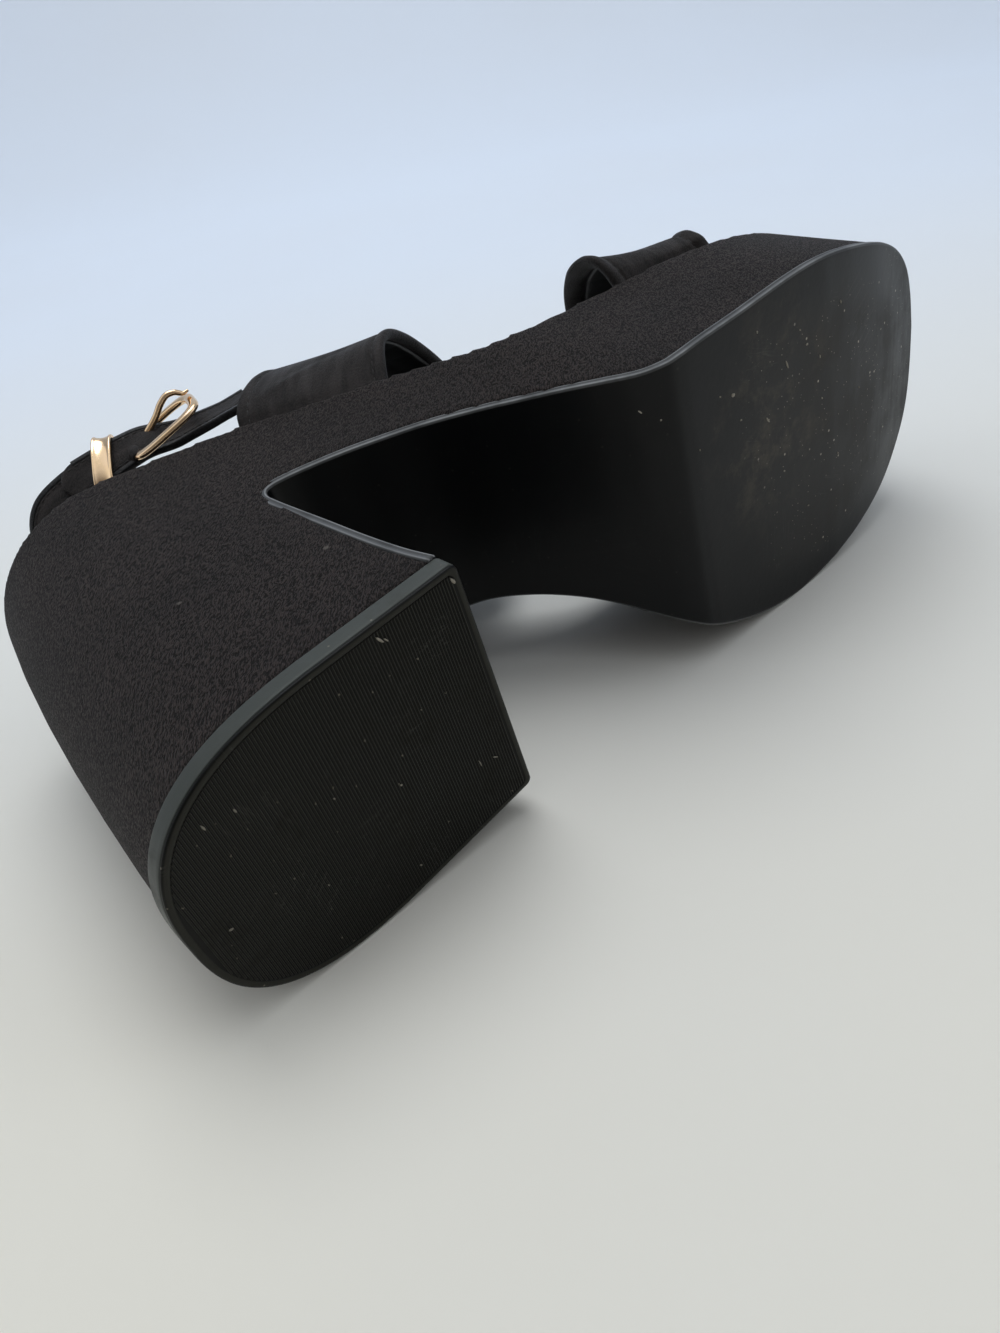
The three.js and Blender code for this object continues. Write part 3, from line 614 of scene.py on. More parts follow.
# %% Outline and side profile of the sole
OUTER_EDGE = [
    (70, -34.7), (82, -34.3), (95, -34), (115, -34.2), (130, -36.2), (142, -38.8), (152, -40.3),
    (165, -40.3), (180, -39.6), (200, -38.9), (213, -37.6), (225, -34.8), (238, -30.4),
    (250, -25), (262, -17.2), (270.6, -8), (274.8, 2), (276.6, 13),
]
INNER_EDGE = [
    (276.6, 13), (275.6, 24), (273.2, 33.5), (268.8, 40.2), (262, 45.2), (253, 49.6), (242, 53.2),
    (228, 56), (216, 57.3), (205, 57.8), (194, 57), (184, 54.4), (174, 50.6), (165, 46),
    (156, 40.3), (147, 33.5), (136, 25.5), (124, 22.5), (112, 23.5), (95, 28), (82, 32.2),
    (70, 34.6),
]
SOLE_PROFILE = [
    (82.6, 5.8), (81.2, 14), (80.2, 26), (79.6, 40), (79, 52), (78.7, 60), (78.9, 64.4),
    (80.8, 66.9), (84.6, 66.8), (92, 64.6), (104, 59), (117, 50), (127, 38.2), (135.5, 25.2),
    (143, 12.3), (148, 4.4), (153, 0.8), (157, 0.12), (160.5, 0), (165, 0), (187, 0), (209, 0),
    (214, 0), (218, 0.14), (230, 0.9), (245, 2.8), (260, 6), (284.6, 12.2),
]
outline = np.concatenate([smooth_line(OUTER_EDGE, 110), smooth_line(INNER_EDGE, 110)[1:]])
profile = smooth_line(SOLE_PROFILE, 320)
profile_out = -sideways(profile)
print("sole profile:", round(run_along(profile)[-1]), "mm long")

# %% [markdown]
# ## The wrapped platform and heel
#
# The wall is one stretched cloth over a moulded block, so no corner of it is sharp. The
# CAD solid is faceted with crisp edges. A voxel remesh lays an even skin over a copy of
# it and smoothing then rounds the edges to about a millimetre, as cloth does when it is
# pulled round them. A few soft creases are pressed in afterwards.

# %% Even skins over the CAD solids
def baked(made):
    """The object with its modifiers applied to its mesh."""
    seen = made.evaluated_get(bpy.context.evaluated_depsgraph_get())
    mesh = bpy.data.meshes.new_from_object(seen)
    made.modifiers.clear()
    made.data = mesh
    return made


def points_of(made, measure="co"):
    """The places of a mesh's points, or their normals, one row each."""
    flat = np.empty(len(made.data.vertices) * 3)
    made.data.vertices.foreach_get(measure, flat)
    return flat.reshape(-1, 3)


def set_points(made, points):
    made.data.vertices.foreach_set("co", points.ravel())
    made.data.update()


SKIN_PASSES = 3


def even_skin(node, name, voxel, reshaped=None):
    """A smoothed even skin over a copy of a CAD node. Voxels are in millimetres."""
    mesh = nodes[node].data.copy()
    welded(mesh, 1e-6)
    mesh.materials.clear()
    made = placed(name, mesh)
    if reshaped is not None:
        set_points(made, laid(reshaped(standing(points_of(made)))))
    remesh = made.modifiers.new("skin", "REMESH")
    remesh.mode, remesh.voxel_size = "VOXEL", voxel * MM
    smooth = made.modifiers.new("round", "SMOOTH")
    smooth.factor, smooth.iterations = 0.5, SKIN_PASSES
    baked(made)
    smooth_shaded(made.data)
    return made


# Soft creases of the wrapped wall: a place, the way each runs, its reach and its depth
WALL_CREASES = [
    # x, y, z, run x, run z, length, width, depth
    (104, -34, 92, 0.5, 0.86, 15, 2.4, 0.28),
    (96, -34, 84, 0.35, 0.94, 12, 2.2, -0.20),
    (118, -34, 78, 0.6, 0.8, 13, 2.4, 0.24),
    (146, -39, 46, 0.75, 0.66, 11, 2.2, 0.20),
    (40, -35, 96, 0.05, 1.0, 22, 3.4, 0.25),
    (28, -34, 70, -0.1, 1.0, 24, 3.6, 0.20),
    (128, 24, 66, 0.6, 0.8, 14, 2.4, 0.30),
    (138, 28, 52, 0.6, 0.8, 12, 2.4, 0.28),
    (150, 36, 42, 0.8, 0.6, 12, 2.2, 0.25),
]


CREASE_ACROSS = 14


def creased(points, table):
    """How far each point is pressed in by the creases of a table, in millimetres."""
    total = np.zeros(len(points))
    for x, y, z, run_x, run_z, length, width, deep in table:
        off = points - (x, y, z)
        run = off[:, 0] * run_x + off[:, 2] * run_z
        side = off[:, 0] * run_z - off[:, 2] * run_x
        total += deep * np.exp(
            -((run / length) ** 2) - (side / width) ** 2 - (off[:, 1] / CREASE_ACROSS) ** 2
        )
    return total


UNDER_SOLE, SOLE_REACH, SOLE_FROM = 1.3, 3.4, 74
UNDER_TREAD, TREAD_REACH, TREAD_TO = 1.2, 6.4, 84


def tucked_under(points):
    """The wrap's lower edge runs on behind the outsole and the tread, so no gap is seen."""
    points = points.copy()
    gaps = np.linalg.norm(points[:, None, [0, 2]] - profile[None], axis=2)
    under = (gaps.min(axis=1) < SOLE_REACH) & (points[:, 0] > SOLE_FROM)
    points[np.ix_(under, [0, 2])] += profile_out[gaps.argmin(axis=1)[under]] * UNDER_SOLE
    points[(points[:, 2] < TREAD_REACH) & (points[:, 0] < TREAD_TO), 2] -= UNDER_TREAD
    return points


wall = even_skin("platform", "wrapped_wall", 1.15, tucked_under)
pressed = creased(standing(points_of(wall)), WALL_CREASES)
set_points(wall, points_of(wall) - points_of(wall, "normal") * pressed[:, None] * MM)
wall.data.materials.append(wall_cloth)
dressed(wall, ["platform"])

# %% [markdown]
# ## The outsole
#
# The outsole is one moulded sheet from the heel's breast to the toe. A remesh would blunt
# its fine edge, so it is built ring by ring: each ring runs across the sole and round the
# two rims, where the edge has a round corner and two thin beads. Then every point learns
# how far it lies from the outline and how deep in the sheet, for the material.

# %% The sheet, ring by ring
SOLE_THICK = 2.2
TUCK = 0.35  # the sheet's hidden face reaches this much into the wrapped block
RIM_PROUD = 0.2  # and its rim stands this much past the drawn outline
outer_side, inner_side = smooth_line(OUTER_EDGE, 400), smooth_line(INNER_EDGE, 400)[::-1]
outer_side[-1] = inner_side[-1]


def sole_width(x):
    """The outline's y at its outer and inner side."""
    return np.interp(x, *outer_side.T), np.interp(x, *inner_side.T)


# in from the edge and through the sheet, in millimetres: round corner, two beads, inner corner
RIM = [
    (1.6, 0.0), (0.9, 0.0), (0.55, 0.04), (0.25, 0.16), (0.07, 0.36), (0.0, 0.62), (0.05, 0.86),
    (0.14, 1.05), (0.14, 1.3), (0.05, 1.5), (0.0, 1.75), (0.02, 2.0), (0.1, 2.16), (0.4, 2.3),
]


CLOSES_FROM, TOE_TIP = 255, 276.58


def sole_stations():
    """Places along the profile: even ones, and closer ones where the toe's outline closes."""
    run = run_along(profile)
    turn_off = run[np.argmax(profile[:, 0] > CLOSES_FROM)]
    tip = float(np.interp(TOE_TIP, profile[-60:, 0], run[-60:]))
    closing = tip - (tip - turn_off) * np.linspace(1, 0, 60) ** 2
    places = np.concatenate([np.linspace(0, turn_off, 230, endpoint=False), closing])
    return read_at(places, run, profile), unit(read_at(places, run, profile_out))


faces_at, outs_at = sole_stations()
sides = []
for side in (0, 1):
    edge_line = np.column_stack([faces_at[:, 0], sole_width(faces_at[:, 0])[side], faces_at[:, 1]])
    out = np.column_stack([outs_at[:, 0], np.zeros(len(outs_at)), outs_at[:, 1]])
    away = unit(np.cross(np.gradient(edge_line, axis=0), out))
    middle = np.column_stack([edge_line[:, 0] - 2, np.full(len(edge_line), 10.0), edge_line[:, 2]])
    away[(away * (edge_line - middle)).sum(axis=1) < 0] *= -1
    rim = [edge_line + away * (RIM_PROUD - inset) - out * through for inset, through in RIM]
    rim.append(edge_line - away * 1.2 - out * (SOLE_THICK + TUCK))
    sides.append(np.stack(rim, axis=1))
rings = []
across_steps = (1 - np.cos(np.linspace(0, np.pi, 44))) / 2
for low_rim, high_rim in zip(*sides):
    under = high_rim[0] + (low_rim[0] - high_rim[0]) * across_steps[1:-1, None]
    rings.append(laid(np.concatenate([low_rim, high_rim[::-1], under])))
sole = piece("outsole_rubber", *lofted(rings), outsole_rubber, "outsole_rubber", ["outsole"])


def distance_to(points, line):
    """Shortest flat distance from each point to a line of many short steps."""
    starts, steps = line[:-1], np.diff(line, axis=0)
    best = np.full(len(points), 1e9)
    for a, step in zip(starts, steps):
        share = np.clip(((points - a) @ step) / (step @ step), 0, 1)
        best = np.minimum(best, np.hypot(*(points - a - share[:, None] * step).T))
    return best


sole_points = standing(points_of(sole))
for name, axes, line in (("edge", [0, 1], outline), ("depth", [0, 2], profile)):
    layer = sole.data.attributes.new(name, "FLOAT", "POINT")
    layer.data.foreach_set("value", distance_to(sole_points[:, axes], line).astype(np.float32))

# %% [markdown]
# ## The heel's tread block
#
# A tread block has a plain side band, a fine groove round it, a bevelled rim and a field
# of narrow ribs. The block is drawn as outlines stacked at chosen heights and drawn in by
# chosen amounts. It could be boolean cuts too, but stacked outlines keep clean edges.

# %% The block
TREAD = dict(length=83.2, back=0.4, half=35.0, corner=1.6, centre=45.0, power=2.6)


def heel_outline(inset, steps=90):
    """The tread's outline at the ground: a rounded back and a straight front."""
    centre, power, corner = TREAD["centre"], 2 / TREAD["power"], TREAD["corner"]
    tip, half = inset - TREAD["back"], TREAD["half"] - inset
    angle = np.pi / 2 - np.linspace(0, np.pi, steps)
    x = centre - (centre - tip) * np.abs(np.cos(angle)) ** power
    back = np.stack([x, half * boxed(np.sin(angle), power)], axis=1)
    front_x, front_y = TREAD["length"] - inset, half - 1.1 + 0.1 * inset
    turn = np.linspace(0, np.pi / 2, 7)
    low = np.stack([corner * np.sin(turn), -corner * np.cos(turn)], 1) + (front_x - corner, corner - front_y)
    high = low[::-1] * (1, -1)
    straight = np.stack([np.full(24, front_x), np.linspace(-front_y + corner, front_y - corner, 24)], 1)
    side = np.linspace(0, 1, 26)[1:-1, None]
    low_side = back[-1] * (1 - side) + low[0] * side
    high_side = high[-1] * (1 - side) + back[0] * side
    return np.concatenate([back, low_side, low, straight[1:-1], high, high_side])


# height above the ground and how far the outline is drawn in there
BLOCK_STEPS = [
    (5.5, 0.6), (5.46, 0.2), (5.3, 0.03), (5.1, 0.0), (3.6, 0.0), (2.2, 0.0), (1.15, 0.0), (1.02, 0.07),
    (0.95, 0.32), (0.80, 0.34), (0.72, 0.13), (0.60, 0.06), (0.30, 0.14), (0.08, 0.36), (0.0, 0.7),
    (0.0, 1.5), (0.05, 1.62), (0.24, 1.75), (0.26, 2.1),
]
rings = [
    laid(np.insert(heel_outline(inset), 2, height, axis=1)) for height, inset in BLOCK_STEPS
]
piece("tread_block", *lofted(rings), tread_rubber, "tread_rubber", ["top_lift"])

# %% [markdown]
# The ribs repeat, so Geometry Nodes make them. A row of points runs from the back of the
# tread to its front, one for each rib, and each point carries half the width of the tread
# there. The tree puts a short rod on every point and stretches it to that width.


# %% A rib on every point
def point_cloud(name, points, edges=(), **values):
    """A mesh of points, and edges if given, with named measures for a Geometry Nodes tree."""
    mesh = bpy.data.meshes.new(name)
    mesh.from_pydata([tuple(p) for p in points], edges, [])
    for key, data in values.items():
        data = np.asarray(data, np.float32)
        kind, field = ("FLOAT", "value") if data.ndim == 1 else ("FLOAT_VECTOR", "vector")
        mesh.attributes.new(key, kind, "POINT").data.foreach_set(field, data.ravel())
    return placed(name, mesh)


def geometry_tree(name, inputs):
    inputs = [("Geometry", GEOMETRY, None), *inputs, ("Material", "NodeSocketMaterial", None)]
    return group(name, inputs, ["Geometry"], "GeometryNodeTree", GEOMETRY)


def set_out(tree, given, result, **sockets):
    """Ends a tree: instances on points, made real, painted and put out."""
    many = first_out(tree, "GeometryNodeInstanceOnPoints", sockets)
    real = first_out(tree, "GeometryNodeRealizeInstances", {0: many})
    tree.links.new(first_out(tree, "GeometryNodeSetMaterial", {
        "Geometry": real, "Material": given["Material"]}), result[0])


def grown(made, tree, **values):
    """Runs a Geometry Nodes tree on an object and keeps the result as its plain mesh."""
    modifier = made.modifiers.new("grow", "NODES")
    modifier.node_group = tree
    for item in tree.interface.items_tree:
        title = item.name.replace(" ", "_")
        if item.in_out == "INPUT" and title in values:
            modifier[item.identifier] = values[title]
    baked(made)
    smooth_shaded(made.data)
    return made


ribs, given, result = geometry_tree("Tread ribs", [("Rib Width", FLOAT, 0.45), ("Rib Height", FLOAT, 0.16)])
rod_line = first_out(ribs, "GeometryNodeCurvePrimitiveLine", {"Start": (0, 0, -1), "End": (0, 0, 1)})
section = first_out(ribs, "GeometryNodeCurvePrimitiveCircle", {"Resolution": 8, "Radius": 0.5})
rod = first_out(ribs, "GeometryNodeCurveToMesh", {
    "Curve": rod_line, "Profile Curve": section, "Fill Caps": True})
half_width = first_out(ribs, "GeometryNodeInputNamedAttribute", {"Name": "reach"}, data_type="FLOAT")
size = first_out(ribs, "ShaderNodeCombineXYZ", {
    0: times(ribs, given["Rib Width"], MM),
    1: times(ribs, given["Rib Height"], 2 * MM), 2: half_width})
tilt = first_out(ribs, "FunctionNodeEulerToRotation", {0: (0, -LAY_ANGLE, 0)})
set_out(ribs, given, result, Points=given["Geometry"], Instance=rod, Rotation=tilt, Scale=size)

RIB_PITCH, RIB_FLOOR, RIB_MARGIN = 0.75, 0.19, 1.7
field = heel_outline(RIB_MARGIN, 400)
rib_x = np.arange(TREAD["back"] + RIB_MARGIN + 0.6, TREAD["length"] - RIB_MARGIN - 0.5, RIB_PITCH)
left = field[field[:, 1] < 0]
left = left[np.argsort(left[:, 0])]
rib_reach = np.interp(rib_x, left[:, 0], -left[:, 1]) - 0.25
rib_places = laid(np.column_stack([rib_x, np.zeros_like(rib_x), np.full_like(rib_x, RIB_FLOOR)]))
tread_ribs = point_cloud("tread_ribs", rib_places, reach=rib_reach * MM)
grown(tread_ribs, ribs, Rib_Width=0.42, Rib_Height=0.18, Material=tread_rubber)
dressed(tread_ribs)
print("ribs:", len(rib_x), "longest", round(2 * rib_reach.max(), 1), "mm")

# %% [markdown]
# ## Crumbs and chips
#
# Walking leaves a few pale crumbs pressed into the rubber, and small rubbed chips on the
# tread. They are tiny, but the eye uses them to judge the size and age of the shoe. Each
# is a row of a table: where it sits, how it is turned, and its length and width.

# %% Crumbs, one flattened grain each
CRUMBS = [
    # x, y, turn in degrees, length, width
    (196.4, -17.4, 70, 3.2, 0.7), (186.7, -6.9, 60, 2.6, 0.6), (173.9, -21.2, 20, 1.6, 1.1),
    (185.3, -31.9, 85, 0.9, 0.5), (202.8, -23.7, 40, 1.1, 0.5), (222.0, -22.0, 80, 1.3, 0.5),
    (205.5, -18.5, 10, 1.0, 0.7), (211.0, -12.2, 75, 1.4, 0.5), (141.4, -34.9, 50, 1.8, 0.4),
    (147.6, -29.3, 0, 0.6, 0.5), (169.0, -23.4, 30, 0.8, 0.5), (211.1, 0.3, 65, 1.2, 0.6),
    (175.9, -13.1, 15, 0.9, 0.6), (159.3, -14.3, 80, 0.8, 0.4), (231.0, 8.0, 70, 0.9, 0.4),
    (192.0, 12.0, 35, 1.0, 0.5), (218.0, 22.0, 60, 0.8, 0.5), (202.0, 30.0, 20, 1.1, 0.4),
    (14.4, -22.2, 80, 1.8, 0.5), (20.7, -20.5, 75, 1.3, 0.5), (7.6, 2.5, 20, 1.2, 0.6),
    (61.2, -30.5, 62, 2.6, 0.6), (62.4, -29.6, 62, 1.6, 0.4), (81.1, -30.6, 70, 2.2, 0.8),
    (71.5, 15.9, 85, 2.4, 0.3), (75.7, 17.9, 40, 2.0, 0.3), (47.9, 28.0, 30, 0.8, 0.5),
    (38.0, -6.0, 50, 0.8, 0.4), (28.0, 12.0, 75, 0.7, 0.4), (52.0, 4.0, 20, 0.7, 0.5),
]
crumb_paint, tree, shader, place = new_material("crumb", Roughness=0.85, Specular_IOR_Level=0.2)
colour = mixed(tree, noise(tree, place, 900.0, 3.0), (0.10, 0.09, 0.07), (0.42, 0.39, 0.33))
wired(tree, shader, colour, None, noise(tree, place, 2000.0, 2.0), 0.00006)


def sole_height(x):
    """Height of the outsole's face above the ground under the forefoot, or of the tread."""
    return float(np.interp(x, profile[200:, 0], profile[200:, 1])) if x > 120 else 0.02


CRUMB_RINGS = [(0.12, 0.6), (0.0, 1.0), (-0.14, 0.75), (-0.22, 0.35)]  # height, share of the size
CRUMB_SIDES = 8
points, faces = [], []
random.seed(7)
for x, y, turn_by, long, wide in CRUMBS:
    start = len(points)
    angle = math.radians(turn_by)
    run, side = np.array([math.cos(angle), math.sin(angle)]), np.array([-math.sin(angle), math.cos(angle)])
    for ring_z, ring_size in CRUMB_RINGS:
        for k in range(CRUMB_SIDES):
            a = 2 * math.pi * k / CRUMB_SIDES
            reach = ring_size * random.uniform(0.75, 1.15) / 2
            at = np.array([x, y]) + run * long * reach * math.cos(a) + side * wide * reach * math.sin(a)
            points.append(laid([at[0], at[1], sole_height(at[0]) + ring_z]))
    for first in range(start, len(points) - CRUMB_SIDES, CRUMB_SIDES):
        for k in range(CRUMB_SIDES):
            a, b = first + k, first + (k + 1) % CRUMB_SIDES
            faces.append((a, b, b + CRUMB_SIDES, a + CRUMB_SIDES))
    faces.append(range(start, start + CRUMB_SIDES))
    faces.append(range(len(points) - CRUMB_SIDES, len(points)))
piece("crumbs", points, faces, crumb_paint, "outsole_rubber")

# %% [markdown]
# ## Insole
#
# The insole is a thin lined sheet on the footbed, hidden in the main view but seen when
# the shoe is turned. It gets an even skin like the wall's.

# %% Insole
insole = even_skin("insole", "insole_sheet", 0.85)
insole.data.materials.append(lining)
dressed(insole, ["insole"])

# %% [markdown]
# ## The two broad straps
#
# Each broad strap is a padded band between two arches over the foot, one at its rear
# edge and one at its front. Its edges are turned over a filler, which makes a rolled rim
# on each side with a shallow seam beside it. The section of the band is worked out in
# millimetres, carried along the arches, and creased.

# %% Arches and planes
TOE_REAR = dict(
    at=(184.4, -38.6, 42), turn=10, lean=7,
    arch=[
        (2.4, -8), (0.6, -1), (-4.8, 3), (-7.7, 7.4), (-7.4, 12), (-4.8, 17.6), (0.4, 23.4),
        (10, 28.6), (26, 32), (45, 32.8), (64, 31), (80, 26), (92, 18), (98, 10.4), (99, 4.4),
        (96.6, -1), (95, -8),
    ],
)
TOE_FRONT = dict(
    at=(219.4, -35.8, 38.6), turn=12, lean=10,
    arch=[
        (2.2, -8), (0.6, -1), (-2.2, 1.8), (-3.1, 5), (-2.8, 8.6), (-0.4, 13), (4.8, 17.2),
        (13.4, 20.8), (27, 23.4), (44, 24.2), (61, 22.8), (76, 18.8), (87, 13), (92.6, 7),
        (93, 3), (91.4, -1), (90, -8),
    ],
)
INSTEP_REAR = dict(
    at=(94.5, -33.2, 103), turn=20, lean=50,
    arch=[
        (1.6, -10), (0.4, -1), (-3.4, 4.4), (-5.4, 10), (-5.8, 16), (-4.8, 25), (-1.2, 34),
        (6, 43.4), (17, 50), (29, 52), (41, 49.4), (52, 42), (59.5, 32), (63, 20), (63.6, 8),
        (62, -4), (59.4, -24),
    ],
)
INSTEP_FRONT = dict(
    at=(128.5, -34.8, 77.5), turn=20, lean=50,
    arch=[
        (1.6, -10), (0.2, -1), (-3.6, 6.4), (-6.2, 12.4), (-7, 18), (-5.6, 24), (-1, 30),
        (6.4, 35.6), (17.4, 41), (31, 44.2), (44, 41.6), (56, 35.4), (65, 25.6), (69.6, 14),
        (70.6, 3), (69, -8), (66.4, -28),
    ],
)
STATIONS = 200


def arch_in_space(table):
    """Points of an arch in shoe millimetres, and the outward direction at each."""
    turn, lean = math.radians(table["turn"]), math.radians(table["lean"])
    across = np.array([math.sin(turn), math.cos(turn), 0])
    rise = np.array([math.sin(lean), 0, math.cos(lean)])
    flat = smooth_line(table["arch"], STATIONS)
    left = sideways(flat)
    points = np.array(table["at"]) + flat[:, :1] * across + flat[:, 1:] * rise
    return points, unit(left[:, :1] * across + left[:, 1:] * rise)


def arch_pair(rear, front, first, last):
    """Points and outward directions of two arches, between two of their stations."""
    return [rows[first:last] for table in (rear, front) for rows in arch_in_space(table)]


crown = [arch_in_space(table)[0][STATIONS // 2] for table in (TOE_REAR, TOE_FRONT)]
print("toe strap along its crown:", round(math.dist(*crown), 1), "mm wide")

# %% [markdown]
# The section has a rolled rim of a given radius at each edge, a seam valley, and a flat
# middle that is drawn in a little. Soft folds are rows of a table: where each sits along
# and across the strap, how it runs, and how high or deep it is.


# %% Section of a padded band
def band_section(width, wall, rim_radius, rim_width, drawn_in, seam):
    """Places across the width, 0 to 1, with outer and inner heights in millimetres."""
    turn = np.linspace(0, np.pi / 2, 8)
    near = np.concatenate([
        rim_radius * (1 - np.cos(turn)),
        np.linspace(rim_radius, rim_width, 7)[1:],
        rim_width + np.array([0.25, 0.5, 0.8, 1.3, 2.0]),
    ])
    middle = np.linspace(near[-1], width - near[-1], 22)[1:-1]
    off = np.concatenate([near, middle, width - near[::-1]])
    edge = np.minimum(off, width - off)
    blend = np.clip((edge - rim_radius) / (rim_width - rim_radius), 0, 1)
    blend = eased(blend)
    half = rim_radius + (wall / 2 - rim_radius) * blend
    round_off = edge < rim_radius
    half[round_off] = np.sqrt(np.maximum(rim_radius**2 - (rim_radius - edge[round_off]) ** 2, 0))
    place = off / width
    middle_line = -wall / 2 - drawn_in * np.sin(np.pi * np.clip(place, 0, 1)) ** 0.6
    valley = seam * np.exp(-(((edge - rim_width) / 0.55) ** 2))
    return place, middle_line + half - valley, middle_line - half


def folded(table, u, w, width, length):
    """Height of the soft folds at places along and across a band, in millimetres."""
    total = np.zeros(np.broadcast(u, w).shape)
    for at_u, at_w, run, long, thin, high in table:
        du, dw = (u - at_u) * length, (w - at_w) * width
        angle = math.radians(run)
        a = du * math.cos(angle) + dw * math.sin(angle)
        b = -du * math.sin(angle) + dw * math.cos(angle)
        total += high * np.exp(-((a / long) ** 2) - (b / thin) ** 2)
    return total


def band_size(pair):
    """Length of a band along its rear arch, and its mean width."""
    return run_along(pair[0])[-1], np.linalg.norm(pair[0] - pair[2], axis=1).mean()


def banded(name, pair, place, high, low, material, slot, replaces=()):
    """A band between two arches, with its UV map in millimetres along and across."""
    a, a_out, b, b_out = (rows[:, None] for rows in pair)
    share = place[None, :, None]
    spine, out = a + (b - a) * share, unit(a_out + (b_out - a_out) * share)
    face, back = spine + out * high[..., None], spine + out * low[..., None]
    rings = laid(np.concatenate([face, back[:, ::-1]], axis=1))
    made = piece(name, *lofted(rings), material, slot, replaces)
    length, width = band_size(pair)
    along = np.linspace(0, 1, len(rings)) * length
    across = np.concatenate([place, place[::-1]]) * width
    flat = np.stack(np.meshgrid(along, across, indexing="ij"), axis=-1).reshape(-1, 2)
    mapped(made, np.concatenate(rings), flat)


def padded_band(name, pair, section, folds, replaced):
    """A padded strap: the section carried along two arches, with its folds."""
    place, outer, inner = section
    u = np.linspace(0, 1, len(pair[0]))
    length, width = band_size(pair)
    lift = folded(folds, u[:, None], place[None, :], width, length)
    middle = np.clip(place / 0.06, 0, 1) * np.clip((1 - place) / 0.06, 0, 1)
    banded(name, pair, place, outer + lift * (0.4 + 0.6 * middle), inner + lift * 0.6,
           strap_satin, "strap_fabric", [replaced])


def mapped(made, places, flat):
    """Gives each face corner the UV of the nearest listed place."""
    tree = KDTree(len(places))
    for i, p in enumerate(places):
        tree.insert(p, i)
    tree.balance()
    nearest = [min(tree.find(v.co)[1], len(flat) - 1) for v in made.data.vertices]
    layer = made.data.uv_layers.new(name="strap")
    corners = np.empty(len(made.data.loops), int)
    made.data.loops.foreach_get("vertex_index", corners)
    layer.data.foreach_set("uv", flat[np.asarray(nearest)[corners]].astype(np.float32).ravel())


# along, across, run in degrees, length, thickness, height
TOE_FOLDS = [
    (0.13, 0.30, 80, 12, 1.6, 0.35), (0.16, 0.55, 95, 14, 1.8, -0.35), (0.20, 0.35, 70, 12, 2.0, 0.30),
    (0.26, 0.6, 100, 12, 2.2, 0.25), (0.33, 0.4, 85, 14, 2.6, -0.25), (0.10, 0.75, 110, 9, 1.4, 0.30),
    (0.45, 0.5, 90, 15, 3.4, 0.20), (0.62, 0.45, 80, 14, 3.0, -0.22), (0.78, 0.5, 95, 12, 2.4, 0.28),
    (0.86, 0.35, 75, 10, 1.8, -0.30), (0.90, 0.65, 105, 10, 1.6, 0.30),
]
TOE_WIDE, TOE_RIM, INSTEP_WIDE, INSTEP_RIM = 35.0, 4.4, 41.0, 3.2
toe_section = band_section(TOE_WIDE, 2.6, 1.95, TOE_RIM, 2.0, 0.45)
padded_band("toe_band", arch_pair(TOE_REAR, TOE_FRONT, 9, -9), toe_section, TOE_FOLDS, "toe_strap")

INSTEP_FOLDS = [
    (0.12, 0.35, 60, 12, 1.8, 0.30), (0.16, 0.6, 75, 14, 2.0, -0.30), (0.22, 0.3, 95, 14, 2.4, 0.25),
    (0.27, 0.7, 110, 12, 2.2, -0.25), (0.34, 0.5, 85, 16, 3.2, 0.22), (0.50, 0.5, 90, 16, 4.0, -0.18),
    (0.64, 0.4, 80, 14, 3.0, 0.22), (0.76, 0.6, 100, 12, 2.6, -0.25), (0.84, 0.4, 70, 12, 2.0, 0.25),
]
instep_section = band_section(INSTEP_WIDE, 2.3, 1.45, INSTEP_RIM, 0.8, 0.4)
padded_band("instep_band", arch_pair(INSTEP_REAR, INSTEP_FRONT, 7, -16), instep_section,
            INSTEP_FOLDS, "instep_strap")

# %% [markdown]
# ## Lining inside the straps
#
# A thin, smoother sheet lines each band. It lies just inside the padding and stops a
# little before the rims. It is lightly quilted by the stitches that go through both.


# %% Lining sheets
QUILT_PITCH, QUILT_ROWS, LINING_HALF = 9, 4, 0.35


def band_lining(name, pair, section, trim, puff):
    """A thin sheet inside a band, puffed between its stitches, and trimmed at its edges."""
    place = np.linspace(trim, 1 - trim, 36)
    low = np.interp(place, section[0], section[2])
    length, _ = band_size(pair)
    u = np.linspace(0, 1, len(pair[0]))[:, None]
    quilt = puff * np.abs(np.sin(u * length / QUILT_PITCH * np.pi)) ** 0.5
    quilt = quilt * np.abs(np.sin((place - trim) / (1 - 2 * trim) * QUILT_ROWS * np.pi)) ** 0.5
    high = low + LINING_HALF + 0 * quilt
    banded(name, pair, place, high, low - 0.12 - quilt - LINING_HALF, lining, "insole_lining")


band_lining("toe_band_lining", arch_pair(TOE_REAR, TOE_FRONT, 12, -12), toe_section, 0.12, 0.25)
band_lining("instep_band_lining", arch_pair(INSTEP_REAR, INSTEP_FRONT, 12, -22), instep_section, 0.08, 0.35)

# %% [markdown]
# ## Ankle strap
#
# The ankle strap is two lengths. The fastening length comes off the instep band, goes
# through the buckle and the keeper and ends behind it. The other comes round the heel and
# is folded round the buckle's rear bar. Both are one flat padded section swept along the
# same line, so one function makes them. A narrow binding is sewn along the top edge.

